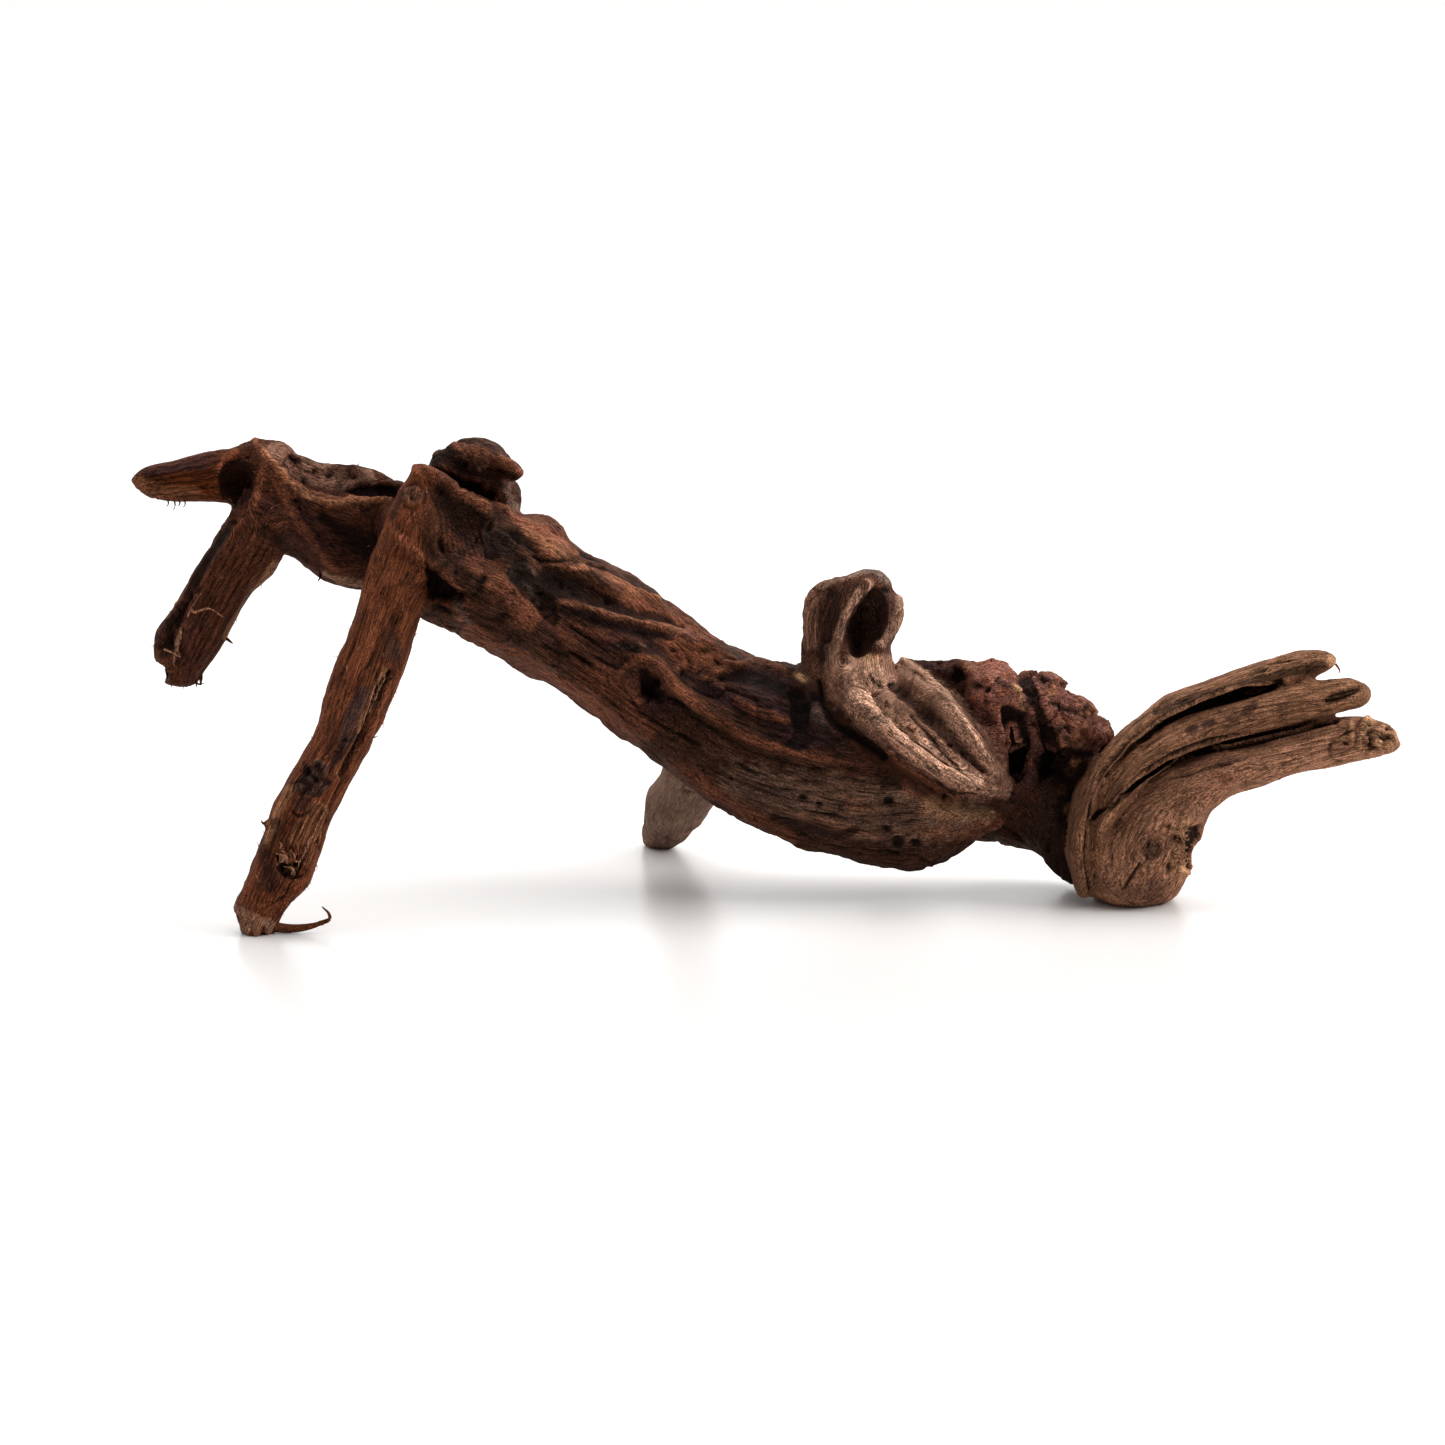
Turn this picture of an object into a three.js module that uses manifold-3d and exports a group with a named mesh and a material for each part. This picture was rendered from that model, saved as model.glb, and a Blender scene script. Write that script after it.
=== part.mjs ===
// Aquarium driftwood: one gnarled, branching root that stands on three points.
// Millimetres, +Z up. +X runs towards the end that is split into fingers, and -Y is the front.
// The origin lies on the floor, under the middle of the piece.
import * as THREE from "three";
import { mergeVertices } from "three/addons/utils/BufferGeometryUtils.js";
import Module from "manifold-3d";

const wasm = await Module();
wasm.setup();

// Driving dimensions. The piece is 380 mm long, and every outline below is a real size.
const SAW_GAP = 0.3; // between two limbs at a fork
const FLOOR_BLOCK = new THREE.Vector3(500, 300, 60);

// The outlines are drawn on the upright plane y = 0, as they look from this point in front.
const EYE = new THREE.Vector3(-12.5, -1565, 384);

// The point at a depth behind that plane that the eye sees at x, z on it.
function seen([x, z], depth) {
  return EYE.clone().lerp(new THREE.Vector3(x, 0, z), 1 - depth / EYE.y);
}

// A smooth bumpiness from about -1 to 1, with bumps of about the given size.
function bumps(p, size) {
  const k = (2 * Math.PI) / size;
  const one = Math.sin(k * (p.x + 0.4 * p.z) + 1.3) * Math.sin(k * (1.1 * p.y - 0.3 * p.x) + 0.4);
  const two = Math.sin(k * (0.9 * p.z + 0.5 * p.y) + 2.1) * Math.sin(k * (0.8 * p.x - 0.6 * p.y));
  return 0.6 * one + 0.6 * two;
}

// A geometry as a solid that faces out.
function solidOf(geometry) {
  const bare = geometry.index ? geometry.toNonIndexed() : geometry.clone();
  bare.deleteAttribute("normal");
  bare.deleteAttribute("uv");
  const merged = mergeVertices(bare, 1e-4);
  const triVerts = new Uint32Array(merged.index.array);
  const vertProperties = merged.attributes.position.array;
  const made = new wasm.Manifold(new wasm.Mesh({ numProp: 3, vertProperties, triVerts }));
  if (made.volume() > 0) return made;
  for (let i = 0; i < triVerts.length; i += 3) {
    [triVerts[i + 1], triVerts[i + 2]] = [triVerts[i + 2], triVerts[i + 1]];
  }
  return new wasm.Manifold(new wasm.Mesh({ numProp: 3, vertProperties, triVerts }));
}

// A closed skin over rings of points that follow each other, with a point in front of each end.
function loft(rings, firstTip, lastTip) {
  const sides = rings[0].length;
  const points = [...rings.flat(), firstTip, lastTip];
  const first = points.length - 2;
  const last = points.length - 1;
  const index = [];
  const at = (ring, side) => ring * sides + (side % sides);
  for (let side = 0; side < sides; side++) {
    for (let ring = 0; ring < rings.length - 1; ring++) {
      index.push(at(ring, side), at(ring + 1, side), at(ring, side + 1));
      index.push(at(ring, side + 1), at(ring + 1, side), at(ring + 1, side + 1));
    }
    index.push(first, at(0, side), at(0, side + 1));
    index.push(last, at(rings.length - 1, side + 1), at(rings.length - 1, side));
  }
  return new THREE.BufferGeometry().setFromPoints(points).setIndex(index);
}

// The skin of a limb, drawn by its two edges as seen from the front. Each station is
// [edge, other edge, depth of its middle, half its thickness from front to back].
// flutes are [how many, how deep as a share, how far they twist], gnarl is the height of its bumps.
function limbSkin(
  stations,
  { sides = 16, rings: perStation = 1, grow = 0, flutes = [], gnarl = 0, gnarlSize = 17, tip = 2 } = {},
) {
  const smooth = (points) => new THREE.CatmullRomCurve3(points);
  const edge = smooth(stations.map(([a, , depth]) => seen(a, depth)));
  const otherEdge = smooth(stations.map(([, b, depth]) => seen(b, depth)));
  const thickness = smooth(stations.map(([, , , half], i) => new THREE.Vector3(half, 10 * i, 0)));
  const count = (stations.length - 1) * perStation;
  const middleAt = (t) => edge.getPoint(t).add(otherEdge.getPoint(t)).multiplyScalar(0.5);
  const along = (t) =>
    middleAt(Math.min(1, t + 0.01)).sub(middleAt(Math.max(0, t - 0.01))).normalize();

  const rings = [];
  for (let i = 0; i <= count; i++) {
    const t = i / count;
    const middle = middleAt(t);
    const up = edge.getPoint(t).sub(middle);
    if (i === 0) middle.addScaledVector(along(t), -grow);
    if (i === count) middle.addScaledVector(along(t), grow);
    const out = up.clone().cross(along(t)).normalize().multiplyScalar(thickness.getPoint(t).x);
    const ring = [];
    for (let side = 0; side < sides; side++) {
      const turn = (2 * Math.PI * side) / sides;
      const facing = Math.abs(Math.sin(turn));
      const fluting = flutes.reduce(
        (sum, [number, share, twist]) => sum + share * Math.sin(number * turn + twist * t * Math.PI),
        0,
      );
      const reach = up
        .clone()
        .multiplyScalar(Math.cos(turn))
        .addScaledVector(out, Math.sin(turn))
        .multiplyScalar(1 + fluting * facing);
      const bump = gnarl * bumps(middle.clone().add(reach), gnarlSize);
      reach.setLength(Math.max(0.3, reach.length() + bump + grow));
      ring.push(middle.clone().add(reach));
    }
    rings.push(ring);
  }
  const firstTip = middleAt(0).addScaledVector(along(0), -tip - grow);
  const lastTip = middleAt(1).addScaledVector(along(1), tip + grow);
  return loft(rings, firstTip, lastTip);
}

// Gives, for x, z as the eye sees them, the point on the near side of a skin, sunk below it by some mm.
function onSkin(skin) {
  const bark = new THREE.Mesh(skin, new THREE.MeshBasicMaterial({ side: THREE.DoubleSide }));
  return ([x, z], sink) => {
    const sight = new THREE.Vector3(x, 0, z).sub(EYE).normalize();
    const [hit] = new THREE.Raycaster(EYE, sight).intersectObject(bark);
    if (!hit) throw new Error(`the eye sees no skin at ${x}, ${z}`);
    return hit.point.addScaledVector(sight, sink);
  };
}

// A round rope of wood along points [x, z, depth or sink, radius]: a ridge where it is joined on, and a
// groove where it is cut away.
function rope(points, { place = seen, sides = 6, grow = 0, rings = 1 } = {}) {
  const path = new THREE.CatmullRomCurve3(points.map(([x, z, deep]) => place([x, z], deep)));
  const radius = new THREE.CatmullRomCurve3(points.map(([, , , r], i) => new THREE.Vector3(r, 5 * i, 0)));
  const count = (points.length - 1) * rings;
  const { normals, binormals } = path.computeFrenetFrames(count, false);
  const circles = [];
  for (let i = 0; i <= count; i++) {
    const r = radius.getPointAt(i / count).x + grow;
    const middle = path.getPointAt(i / count);
    const circle = [];
    for (let side = 0; side < sides; side++) {
      const turn = (2 * Math.PI * side) / sides;
      circle.push(
        middle
          .clone()
          .addScaledVector(normals[i], r * Math.cos(turn))
          .addScaledVector(binormals[i], r * Math.sin(turn)),
      );
    }
    circles.push(circle);
  }
  const end = (t, r) => path.getPointAt(t).addScaledVector(path.getTangentAt(t), r);
  return solidOf(loft(circles, end(0, -0.6 * points[0][3]), end(1, 0.6 * points.at(-1)[3])));
}

// A lump at x, z and a depth or sink, or a hollow where it is cut away: a bumpy ball stretched to three
// radii and turned by some degrees in the front view.
function lump(
  [x, z],
  deep,
  [across, through, high],
  { place = seen, turn = 0, grow = 0, gnarl = 0.8, sides = 12 } = {},
) {
  const ball = new THREE.SphereGeometry(1, sides, Math.round(sides * 0.6));
  ball.scale(across + grow, through + grow, high + grow);
  ball.rotateY(THREE.MathUtils.degToRad(turn));
  const middle = place([x, z], deep);
  ball.translate(middle.x, middle.y, middle.z);
  const corners = ball.attributes.position;
  const corner = new THREE.Vector3();
  for (let i = 0; i < corners.count; i++) {
    corner.fromBufferAttribute(corners, i);
    const away = corner.clone().sub(middle).normalize();
    corner.addScaledVector(away, gnarl * bumps(corner, 9));
    corners.setXYZ(i, corner.x, corner.y, corner.z);
  }
  return solidOf(ball);
}

const join = (solids) => solids.reduce((whole, next) => whole.add(next));
const cut = (solid, ...tools) => tools.reduce((left, tool) => left.subtract(tool), solid);

// Everything below the floor.
function belowFloor() {
  const block = new THREE.BoxGeometry(...FLOOR_BLOCK);
  return solidOf(block.translate(0, 0, -FLOOR_BLOCK.z / 2));
}

// The trunk: a thick stem that falls from the crest at the left to the belly at the right.
function stemSkin(grow) {
  const stations = [
    [[-108, 122], [-115, 103], 0, 9],
    [[-103.5, 127], [-110, 91], 0, 17],
    [[-95, 124.5], [-101, 83], 0, 24],
    [[-84, 117], [-88, 76.5], 0, 26],
    [[-70, 114.5], [-76, 69.5], 2, 25],
    [[-55, 104], [-61, 61.5], 4, 23],
    [[-37, 94.5], [-47, 50.5], 5, 22],
    [[-21, 82], [-30, 38], 4, 23],
    [[-6, 73], [-12, 26], 1, 26],
    [[9, 69], [4, 17.5], 0, 27],
    [[25, 67], [21, 12], -1, 27],
    [[42, 66], [42, 7.5], -2, 26],
    [[57, 62], [56, 11], -2, 23],
    [[69, 53], [67, 19], -2, 17],
    [[75, 42], [74, 28], -2, 8],
  ];
  const flutes = [[3, 0.05, 1.5], [7, 0.03, -2]];
  return limbSkin(stations, { sides: 20, rings: 2, grow, flutes, gnarl: 1.1, tip: 3 });
}

const stem = (grow) => solidOf(stemSkin(grow));
const onStem = onSkin(stemSkin(0));

// The waist behind the belly, which leads to the foot at the right.
function neck(grow) {
  const stations = [
    [[58, 60], [58, 17], 8, 14],
    [[72, 58], [71, 14], 10, 14],
    [[85, 50], [84, 10.5], 8, 14],
    [[96, 42], [92, 1.5], 2, 13],
    [[104, 34], [101, 0.5], -4, 10],
  ];
  return solidOf(limbSkin(stations, { sides: 12, rings: 2, grow, flutes: [[5, 0.06, 1]], gnarl: 0.8 }));
}

// The sharp crest over the front leg.
function crest(grow) {
  const points = [[-103.4, 127, -9, 2.6], [-92, 120, -14, 3.2], [-82, 113, -17, 2.6]];
  return rope(points, { grow });
}

// The shoulder that fills the corner between the trunk and the front leg.
function shoulder(grow) {
  const points = [[-97.5, 119, -13, 4], [-98, 112, -16.5, 6], [-98.5, 104, -18, 6], [-99.5, 97, -18, 4]];
  return rope(points, { grow });
}

// The knob that hangs over the hollow behind the crest.
function knob(grow) {
  return [
    lump([-85.8, 130.2], 12, [11.2, 11, 7], { turn: 12, grow }),
    lump([-94, 129.6], 10, [7.4, 8, 5.4], { turn: -42, grow, sides: 8 }),
    lump([-76, 128], 6, [4.6, 6, 3.8], { turn: 30, grow, sides: 8 }),
    lump([-80, 119], 14, [8.5, 9, 9], { grow, sides: 8 }),
    lump([-92, 122.5], 13, [9, 8, 7], { turn: 15, grow, sides: 8 }),
    lump([-67, 108.5], 6, [8, 12, 6], { turn: 30, grow, sides: 8 }),
  ];
}

// The lip and ribs that fan out from the curl over the belly.
function ribs(grow) {
  const onBelly = { place: onStem, grow };
  const wall = [[78, 57, -6, 2.4], [81.5, 48, -8, 2.6], [80, 37, -9, 2.6], [74, 26, -10, 2.6],
    [66, 19, -10, 2.6]];
  return [
    rope([[23, 65, 1, 3.6], [24, 60, 0, 4], [31, 51, -1, 3.6], [42, 42, 0, 3.4], [55, 33, 0, 3.2],
      [66, 27, 1, 3]], onBelly),
    rope([[44, 62, 2, 4], [53, 56, 1, 4.2], [62, 48, 1, 4], [68, 39, 2, 3.2]], onBelly),
    rope(wall, { grow }),
  ];
}

// The rough burl between the ribs and the foot.
function burl(grow) {
  return [
    rope([[41, 66, 4, 5], [52, 65.5, 2, 5.4], [62, 66, 0, 5.6], [71, 62, 0, 6]], { grow }),
    lump([68, 62], -5, [7.5, 12, 8], { turn: 30, grow, sides: 10 }),
    lump([73, 52], -6, [8, 10, 10], { turn: 20, grow, gnarl: 1.3, sides: 10 }),
    lump([82.5, 59], -2, [8, 13, 7.5], { turn: 15, grow, gnarl: 1.3 }),
    lump([91, 51], -4, [7.6, 12, 9], { turn: 40, grow, gnarl: 1.3 }),
    lump([99.5, 49], -2, [4.4, 8, 3.6], { turn: 40, grow, sides: 8 }),
    lump([95.4, 43.4], -2, [5.4, 8, 5], { grow, sides: 8 }),
  ];
}

// The ridges along the upper face of the stem.
function stemRidges(grow) {
  const onTop = { place: onStem, grow };
  return [
    rope([[-84, 106, 0.5, 2.4], [-66, 102, 0.5, 2.8], [-44, 91, 0, 2]], onTop),
    rope([[-78, 97, 0.5, 2.6], [-57, 87, 0, 2.8], [-30, 81, 0, 2]], onTop),
    rope([[-37, 72, 0.5, 2.4], [-20, 57.5, 0, 3], [3, 45, 0, 2.2]], onTop),
    rope([[-25, 76, 1, 3], [-16, 74, 0.5, 3.6], [-7, 68, 0.5, 2.8]], onTop),
  ];
}

// The hollows, pits and clefts of the trunk.
function trunkHollows() {
  const onFace = { place: onStem };
  return [
    lump([-88, 121], -4, [7.5, 8, 3.2], { turn: 25, gnarl: 0.4, sides: 8 }),
    rope([[-103, 96, -1, 1.6], [-98, 91, -1, 4], [-93, 89, -2, 2]], onFace),
    lump([-34, 62], 0, [4, 5, 5.4], { ...onFace, gnarl: 0.3, sides: 8 }),
    rope([[-74, 98, -1, 2.6], [-68, 90, -1.5, 3.4], [-61, 82, -1.5, 2.4]], onFace),
    rope([[11, 62, 0, 2.4], [11.5, 54, 0, 3], [11, 45, 0, 2]], { ...onFace }),
    rope([[28, 64, 0, 2.4], [35, 55, 0, 3.2], [46, 45.5, 0, 3], [58, 36.5, 0, 2.4]], onFace),
    rope([[72.4, 57, -16, 2.2], [74.2, 49, -15, 3.2], [75.8, 40, -15, 2.8], [76, 33, -15, 1.6]]),
    rope([[72.4, 56, -10, 2], [74.2, 48, -10, 2.8], [75.8, 40, -10, 2.6], [76, 34, -10, 1.6]]),
  ];
}

const trunkCutter = () => join([stem(SAW_GAP), neck(SAW_GAP), ...burl(SAW_GAP), ...ribs(SAW_GAP)]);
const crownCutter = () => join([stem(SAW_GAP), crest(SAW_GAP), shoulder(SAW_GAP), ...knob(SAW_GAP)]);

function makeTrunk() {
  const top = [crest(0), shoulder(0), ...knob(0), ...stemRidges(0)];
  const solid = join([stem(0), neck(0), ...top, ...ribs(0), ...burl(0)]);
  return cut(solid, ...trunkHollows(), belowFloor());
}

// The tall leg at the front, which leans out to the left.
function frontLegSkin(grow) {
  const stations = [
    [[-104.8, 128], [-97, 124.5], -10, 5],
    [[-109.5, 121.5], [-93, 115], -10, 9],
    [[-113.5, 112.5], [-95, 104], -12, 10.5],
    [[-117, 102], [-98.5, 93], -16, 11],
    [[-120.5, 90], [-103, 83.5], -21, 10],
    [[-124.5, 79], [-106, 74], -25, 9.5],
    [[-128.5, 69], [-109.5, 63.5], -29, 9.5],
    [[-132, 58], [-113.5, 54], -33, 9.5],
    [[-135, 48.5], [-119, 43], -37, 9],
    [[-141, 37.5], [-124.5, 32.5], -41, 9],
    [[-148, 27], [-130, 21], -44, 9],
    [[-152.3, 14.5], [-134, 10.5], -47, 9],
    [[-156.5, 4], [-137, 1.5], -50, 8.5],
    [[-160.3, -5.5], [-144.5, -5.5], -52, 7],
    [[-158.5, -11], [-147, -11.5], -53, 5.5],
    [[-157, -16], [-149, -16], -53.5, 4.5],
  ];
  return limbSkin(stations, { sides: 12, grow, flutes: [[4, 0.05, 0.8]], gnarl: 0.5, gnarlSize: 13, tip: 1 });
}

function makeFrontLeg() {
  const place = onSkin(frontLegSkin(0));
  const slit = rope([[-111, 68, 0, 0.8], [-114.5, 59, 0, 1.3], [-120, 48, 0, 1.3], [-127, 35, 0, 0.8]], {
    place,
    sides: 5,
  });
  const knot = lump([-142, 8], 1, [4, 2.4, 4], { place, sides: 8, gnarl: 0.5 });
  const top = join([stem(SAW_GAP), crest(SAW_GAP), shoulder(SAW_GAP)]);
  return cut(solidOf(frontLegSkin(0)), slit, knot, top, belowFloor());
}

// The short leg at the back, which holds the belly up.
function makeRearLeg() {
  const stations = [
    [[-29, 56], [-4, 49], 12, 11],
    [[-29.5, 44], [-10, 37], 24, 10.5],
    [[-31, 36], [-14, 29], 36, 10],
    [[-35.8, 28], [-18, 23], 46, 9],
    [[-35.8, 21], [-22.5, 18.5], 53, 7],
    [[-36, 15.5], [-26, 14.5], 57, 5],
    [[-35, 11], [-28, 11], 58, 3.5],
  ];
  const skin = limbSkin(stations, { sides: 12, rings: 2, flutes: [[5, 0.05, 1]], gnarl: 0.6, tip: 1 });
  return cut(solidOf(skin), stem(SAW_GAP), belowFloor());
}

// The arm that leaves the crest to the left, with a trough along its top.
function leftArmSkin(grow) {
  const stations = [
    [[-96, 120], [-100, 94], 9, 13],
    [[-108, 125], [-112, 92.5], 12, 13],
    [[-120, 130], [-122, 92.5], 12, 14],
    [[-132, 131], [-132, 95], 11, 14],
    [[-142, 135], [-139, 101.5], 9, 13],
    [[-150, 137], [-146, 106], 8, 11.5],
    [[-157, 135.5], [-152, 112], 6, 8.5],
  ];
  const flutes = [[4, 0.05, 1.2]];
  return limbSkin(stations, { sides: 14, rings: 2, grow, flutes, gnarl: 0.9, gnarlSize: 14, tip: 3 });
}

function leftArmTroughs() {
  return [
    lump([-129, 127.5], 3, [16, 10, 9.5], { turn: 6, gnarl: 1.2 }),
    rope([[-122, 124, 2, 3], [-113, 122, 3, 3.4], [-104, 120, 4, 3]], {}),
    lump([-157, 123.5], -3, [5, 8, 7], { turn: -10, gnarl: 0.5, sides: 10 }),
  ];
}

function makeLeftArm() {
  const place = onSkin(leftArmSkin(0));
  const groove = rope([[-141, 111, 0, 1.2], [-130, 106, 0, 2.4], [-120, 103, 0, 2]], { place, sides: 5 });
  const solid = cut(solidOf(leftArmSkin(0)), ...leftArmTroughs(), groove);
  return cut(solid, crownCutter(), solidOf(frontLegSkin(SAW_GAP)));
}

// The stub that points left, like a snout.
function leftStubSkin(grow) {
  const stations = [
    [[-188.2, 125.8], [-187.6, 123.4], 2, 2],
    [[-184, 129], [-183, 120], 2, 5],
    [[-175, 131.3], [-175, 118.8], 3, 6.5],
    [[-165, 133.8], [-165, 119], 4, 7.5],
    [[-156, 134.8], [-157, 117.5], 5, 8],
    [[-150, 133], [-151, 117], 7, 7],
  ];
  return limbSkin(stations, { sides: 12, grow, flutes: [[5, 0.04, 0.5]], gnarl: 0.4, tip: 0.8 });
}

function makeLeftStub() {
  return cut(solidOf(leftStubSkin(0)), solidOf(leftArmSkin(SAW_GAP)), leftArmTroughs()[2]);
}

// The branch that hangs from the fork of the left arm, and ends broken above the floor.
function makeHangingBranch() {
  const stations = [
    [[-155, 124], [-138, 114], 4, 12],
    [[-159.5, 114], [-142.5, 103.5], 3, 10.5],
    [[-164, 107.5], [-147, 97], 2, 9],
    [[-169.5, 98.5], [-153, 90.5], 1, 8.5],
    [[-175, 89.5], [-158.5, 82], -1, 8],
    [[-182, 80], [-162, 74.5], -3, 8],
    [[-183.2, 73], [-167, 67.5], -4, 7.5],
    [[-179.5, 63.5], [-170.5, 63], -5, 6],
  ];
  const skin = limbSkin(stations, { sides: 12, flutes: [[3, 0.06, 0.6]], gnarl: 0.5, tip: 0.6 });
  const groove = rope([[-161, 109, 0, 1.4], [-169, 95, 0, 2], [-175, 83, 0, 2.4], [-179, 74, 0, 2.4]], {
    place: onSkin(skin),
  });
  const notch = lump([-181, 66.5], -6, [3.6, 9, 3.6], { gnarl: 0.3, sides: 8 });
  return cut(solidOf(skin), groove, notch, solidOf(leftArmSkin(SAW_GAP)), solidOf(leftStubSkin(SAW_GAP)));
}

// The curl: a hollow ear of wood that stands up from the trunk.
function makeCurl() {
  const stations = [
    [[8, 56], [40, 58], -3, 14],
    [[10.5, 64], [39, 66], -3, 14],
    [[11.5, 74], [37.5, 74.5], -3, 13.5],
    [[11, 82], [41, 81.5], -3, 13],
    [[11.8, 90], [41.5, 88], -2, 12],
    [[15.5, 94.5], [38.5, 92.5], -1, 10],
    [[23, 96.8], [37.5, 95.5], 0, 7],
  ];
  const ear = solidOf(limbSkin(stations, { sides: 16, flutes: [[5, 0.03, 1]], gnarl: 0.5, tip: 1 }));
  const cap = lump([32, 94], -4, [5.4, 8, 4.2], { sides: 10 });
  return cut(
    ear.add(cap),
    lump([30.5, 82.5], -14, [6.5, 15, 10.5], { turn: 14, gnarl: 0.4 }),
    rope([[27, 76, -18, 3], [29, 70, -20, 3.4], [32, 64, -22, 2.6]]),
    rope([[21, 95, -16, 2.2], [18.5, 84, -18, 2.6], [17.5, 74, -18, 2]]),
    trunkCutter(),
  );
}

// The foot at the right, with the lower finger that grows out of it.
function footSkin(grow) {
  const stations = [
    [[190.6, 46], [190.6, 43.5], -10, 2],
    [[188, 50.5], [188.5, 42.3], -10, 5],
    [[180, 53.2], [180.5, 40.2], -11, 7],
    [[170, 52.6], [171.5, 38.2], -12, 8],
    [[158, 49], [160, 36.7], -12, 9],
    [[146, 46.3], [149.5, 32.3], -12, 10.5],
    [[134, 43.2], [140.5, 29.5], -12, 12.5],
    [[121, 38], [134, 24], -12, 15],
    [[109, 30.5], [131.5, 15.5], -12, 17],
    [[99, 18], [129.5, 7], -12, 18],
    [[95, 5], [124.5, -2], -13, 16],
    [[99, -2.5], [118, -6], -14, 11],
  ];
  return limbSkin(stations, { sides: 14, grow, flutes: [[4, 0.03, 1]], gnarl: 0.6, gnarlSize: 15, tip: 1 });
}

// The two long splits, open to the front, between the fingers.
function splits() {
  const upper = [
    [[98, 17], [98.8, 17], -24, 8],
    [[98.9, 26], [100, 25.6], -24, 9],
    [[102.2, 35.2], [103.6, 34.4], -22, 10],
    [[109.3, 44.2], [111, 42.6], -20, 10],
    [[119.6, 52.4], [121.4, 50.2], -18, 10],
    [[131, 58], [132.2, 55], -16, 10],
    [[143, 62.6], [144, 59], -14, 12],
    [[152, 63.4], [152.5, 60.6], -12, 14],
  ];
  const lower = [
    [[100, 20.4], [100.8, 19.6], -28, 8],
    [[104.6, 26.2], [105.8, 25], -28, 10],
    [[111.6, 33.2], [112.6, 31.4], -26, 11],
    [[120.6, 39.2], [121.6, 36.8], -24, 11],
    [[130.6, 43.2], [131.4, 40.4], -22, 11],
    [[141.6, 46.4], [142.2, 43.8], -20, 10],
    [[153, 48.9], [153.4, 46.6], -18, 10],
    [[164, 51.6], [164.4, 49], -17, 10],
  ];
  return [upper, lower].map((stations) => solidOf(limbSkin(stations, { sides: 6, tip: 1 })));
}

// The web of wood that closes the lower split from behind.
function web(grow) {
  const points = [[130, 43, -5, 3.6], [141, 45.6, -5, 3.6], [152, 48.6, -5, 3.4], [162, 51.4, -5, 3.2],
    [170, 53, -5, 2]];
  return rope(points, { grow });
}

function makeFoot() {
  const place = onSkin(footSkin(0));
  const open = cut(
    solidOf(footSkin(0)),
    lump([131, 12], -14, [5, 8, 7], { turn: -20, gnarl: 0.8, sides: 10 }),
    lump([117, 13], 0.6, [4, 2.4, 4], { place, gnarl: 0.3, sides: 8 }),
    splits()[1],
  );
  return cut(open.add(web(0)), neck(SAW_GAP), belowFloor());
}

// The upper finger: a strip that runs up the foot's left edge and bends over to the right.
function upperFingerSkin(grow) {
  const stations = [
    [[94, -1], [100, 1], -12, 12],
    [[91.2, 11], [98.6, 11], -12, 15],
    [[91.5, 22], [99.4, 22], -12, 15],
    [[94.2, 31.5], [101.8, 30], -11, 14],
    [[99.8, 40.5], [107, 37.5], -10, 12.5],
    [[108.5, 49.5], [114.5, 45.6], -9, 11],
    [[120, 59.5], [125.4, 53.6], -8, 10],
    [[133, 64.3], [136, 57.6], -7, 9],
    [[147, 69.2], [149, 60.6], -6, 8],
    [[160, 73.5], [161.5, 64.6], -6, 7],
    [[168, 73.7], [168.5, 67.3], -6, 5.5],
    [[171, 71.5], [171, 69.5], -6, 2.5],
  ];
  return limbSkin(stations, { sides: 10, grow, flutes: [[5, 0.03, 1]], gnarl: 0.35, tip: 0.5 });
}

function makeUpperFinger() {
  const whole = cut(solidOf(upperFingerSkin(0)), splits()[0], neck(SAW_GAP), ...burl(SAW_GAP).slice(4));
  return cut(whole, solidOf(footSkin(SAW_GAP)), belowFloor());
}

// The middle finger, between the two long splits.
function makeMiddleFinger() {
  const stations = [
    [[98, 12], [102.5, 10], -14, 12],
    [[98.6, 22], [103.8, 20.5], -14, 14],
    [[101.4, 32], [109, 27.2], -14, 14],
    [[107.8, 42], [115, 34.4], -13, 13],
    [[118, 50], [124, 40.4], -12, 11.5],
    [[130.5, 55.6], [134.5, 45], -11, 10],
    [[144, 59.8], [147.5, 48.6], -10, 9],
    [[157, 63.4], [159.5, 51.6], -10, 8],
    [[167, 64.4], [168.5, 54], -10, 7.5],
    [[176, 65], [176.5, 55.6], -10, 6.5],
    [[181, 62.7], [181.2, 58], -10, 4],
  ];
  const skin = limbSkin(stations, { sides: 10, flutes: [[5, 0.03, 1]], gnarl: 0.35, tip: 0.8 });
  const whole = cut(solidOf(skin), ...splits(), neck(SAW_GAP));
  return cut(whole, solidOf(footSkin(SAW_GAP)), web(SAW_GAP), solidOf(upperFingerSkin(SAW_GAP)));
}

// The wood's colours, as they look on each limb.
const COLOURS = { red: 0x5a3222, dark: 0x3f2419, tan: 0x8a6547, grey: 0x6f5a4c };

function mesh(name, solid, colour) {
  const { numProp, vertProperties, triVerts } = solid.getMesh();
  const place = new THREE.InterleavedBuffer(vertProperties, numProp);
  const geometry = new THREE.BufferGeometry()
    .setAttribute("position", new THREE.InterleavedBufferAttribute(place, 3, 0))
    .setIndex(new THREE.BufferAttribute(triVerts, 1));
  const material = new THREE.MeshStandardMaterial({ color: colour, roughness: 0.8, metalness: 0 });
  const made = new THREE.Mesh(geometry, material);
  made.name = name;
  return made;
}

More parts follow.
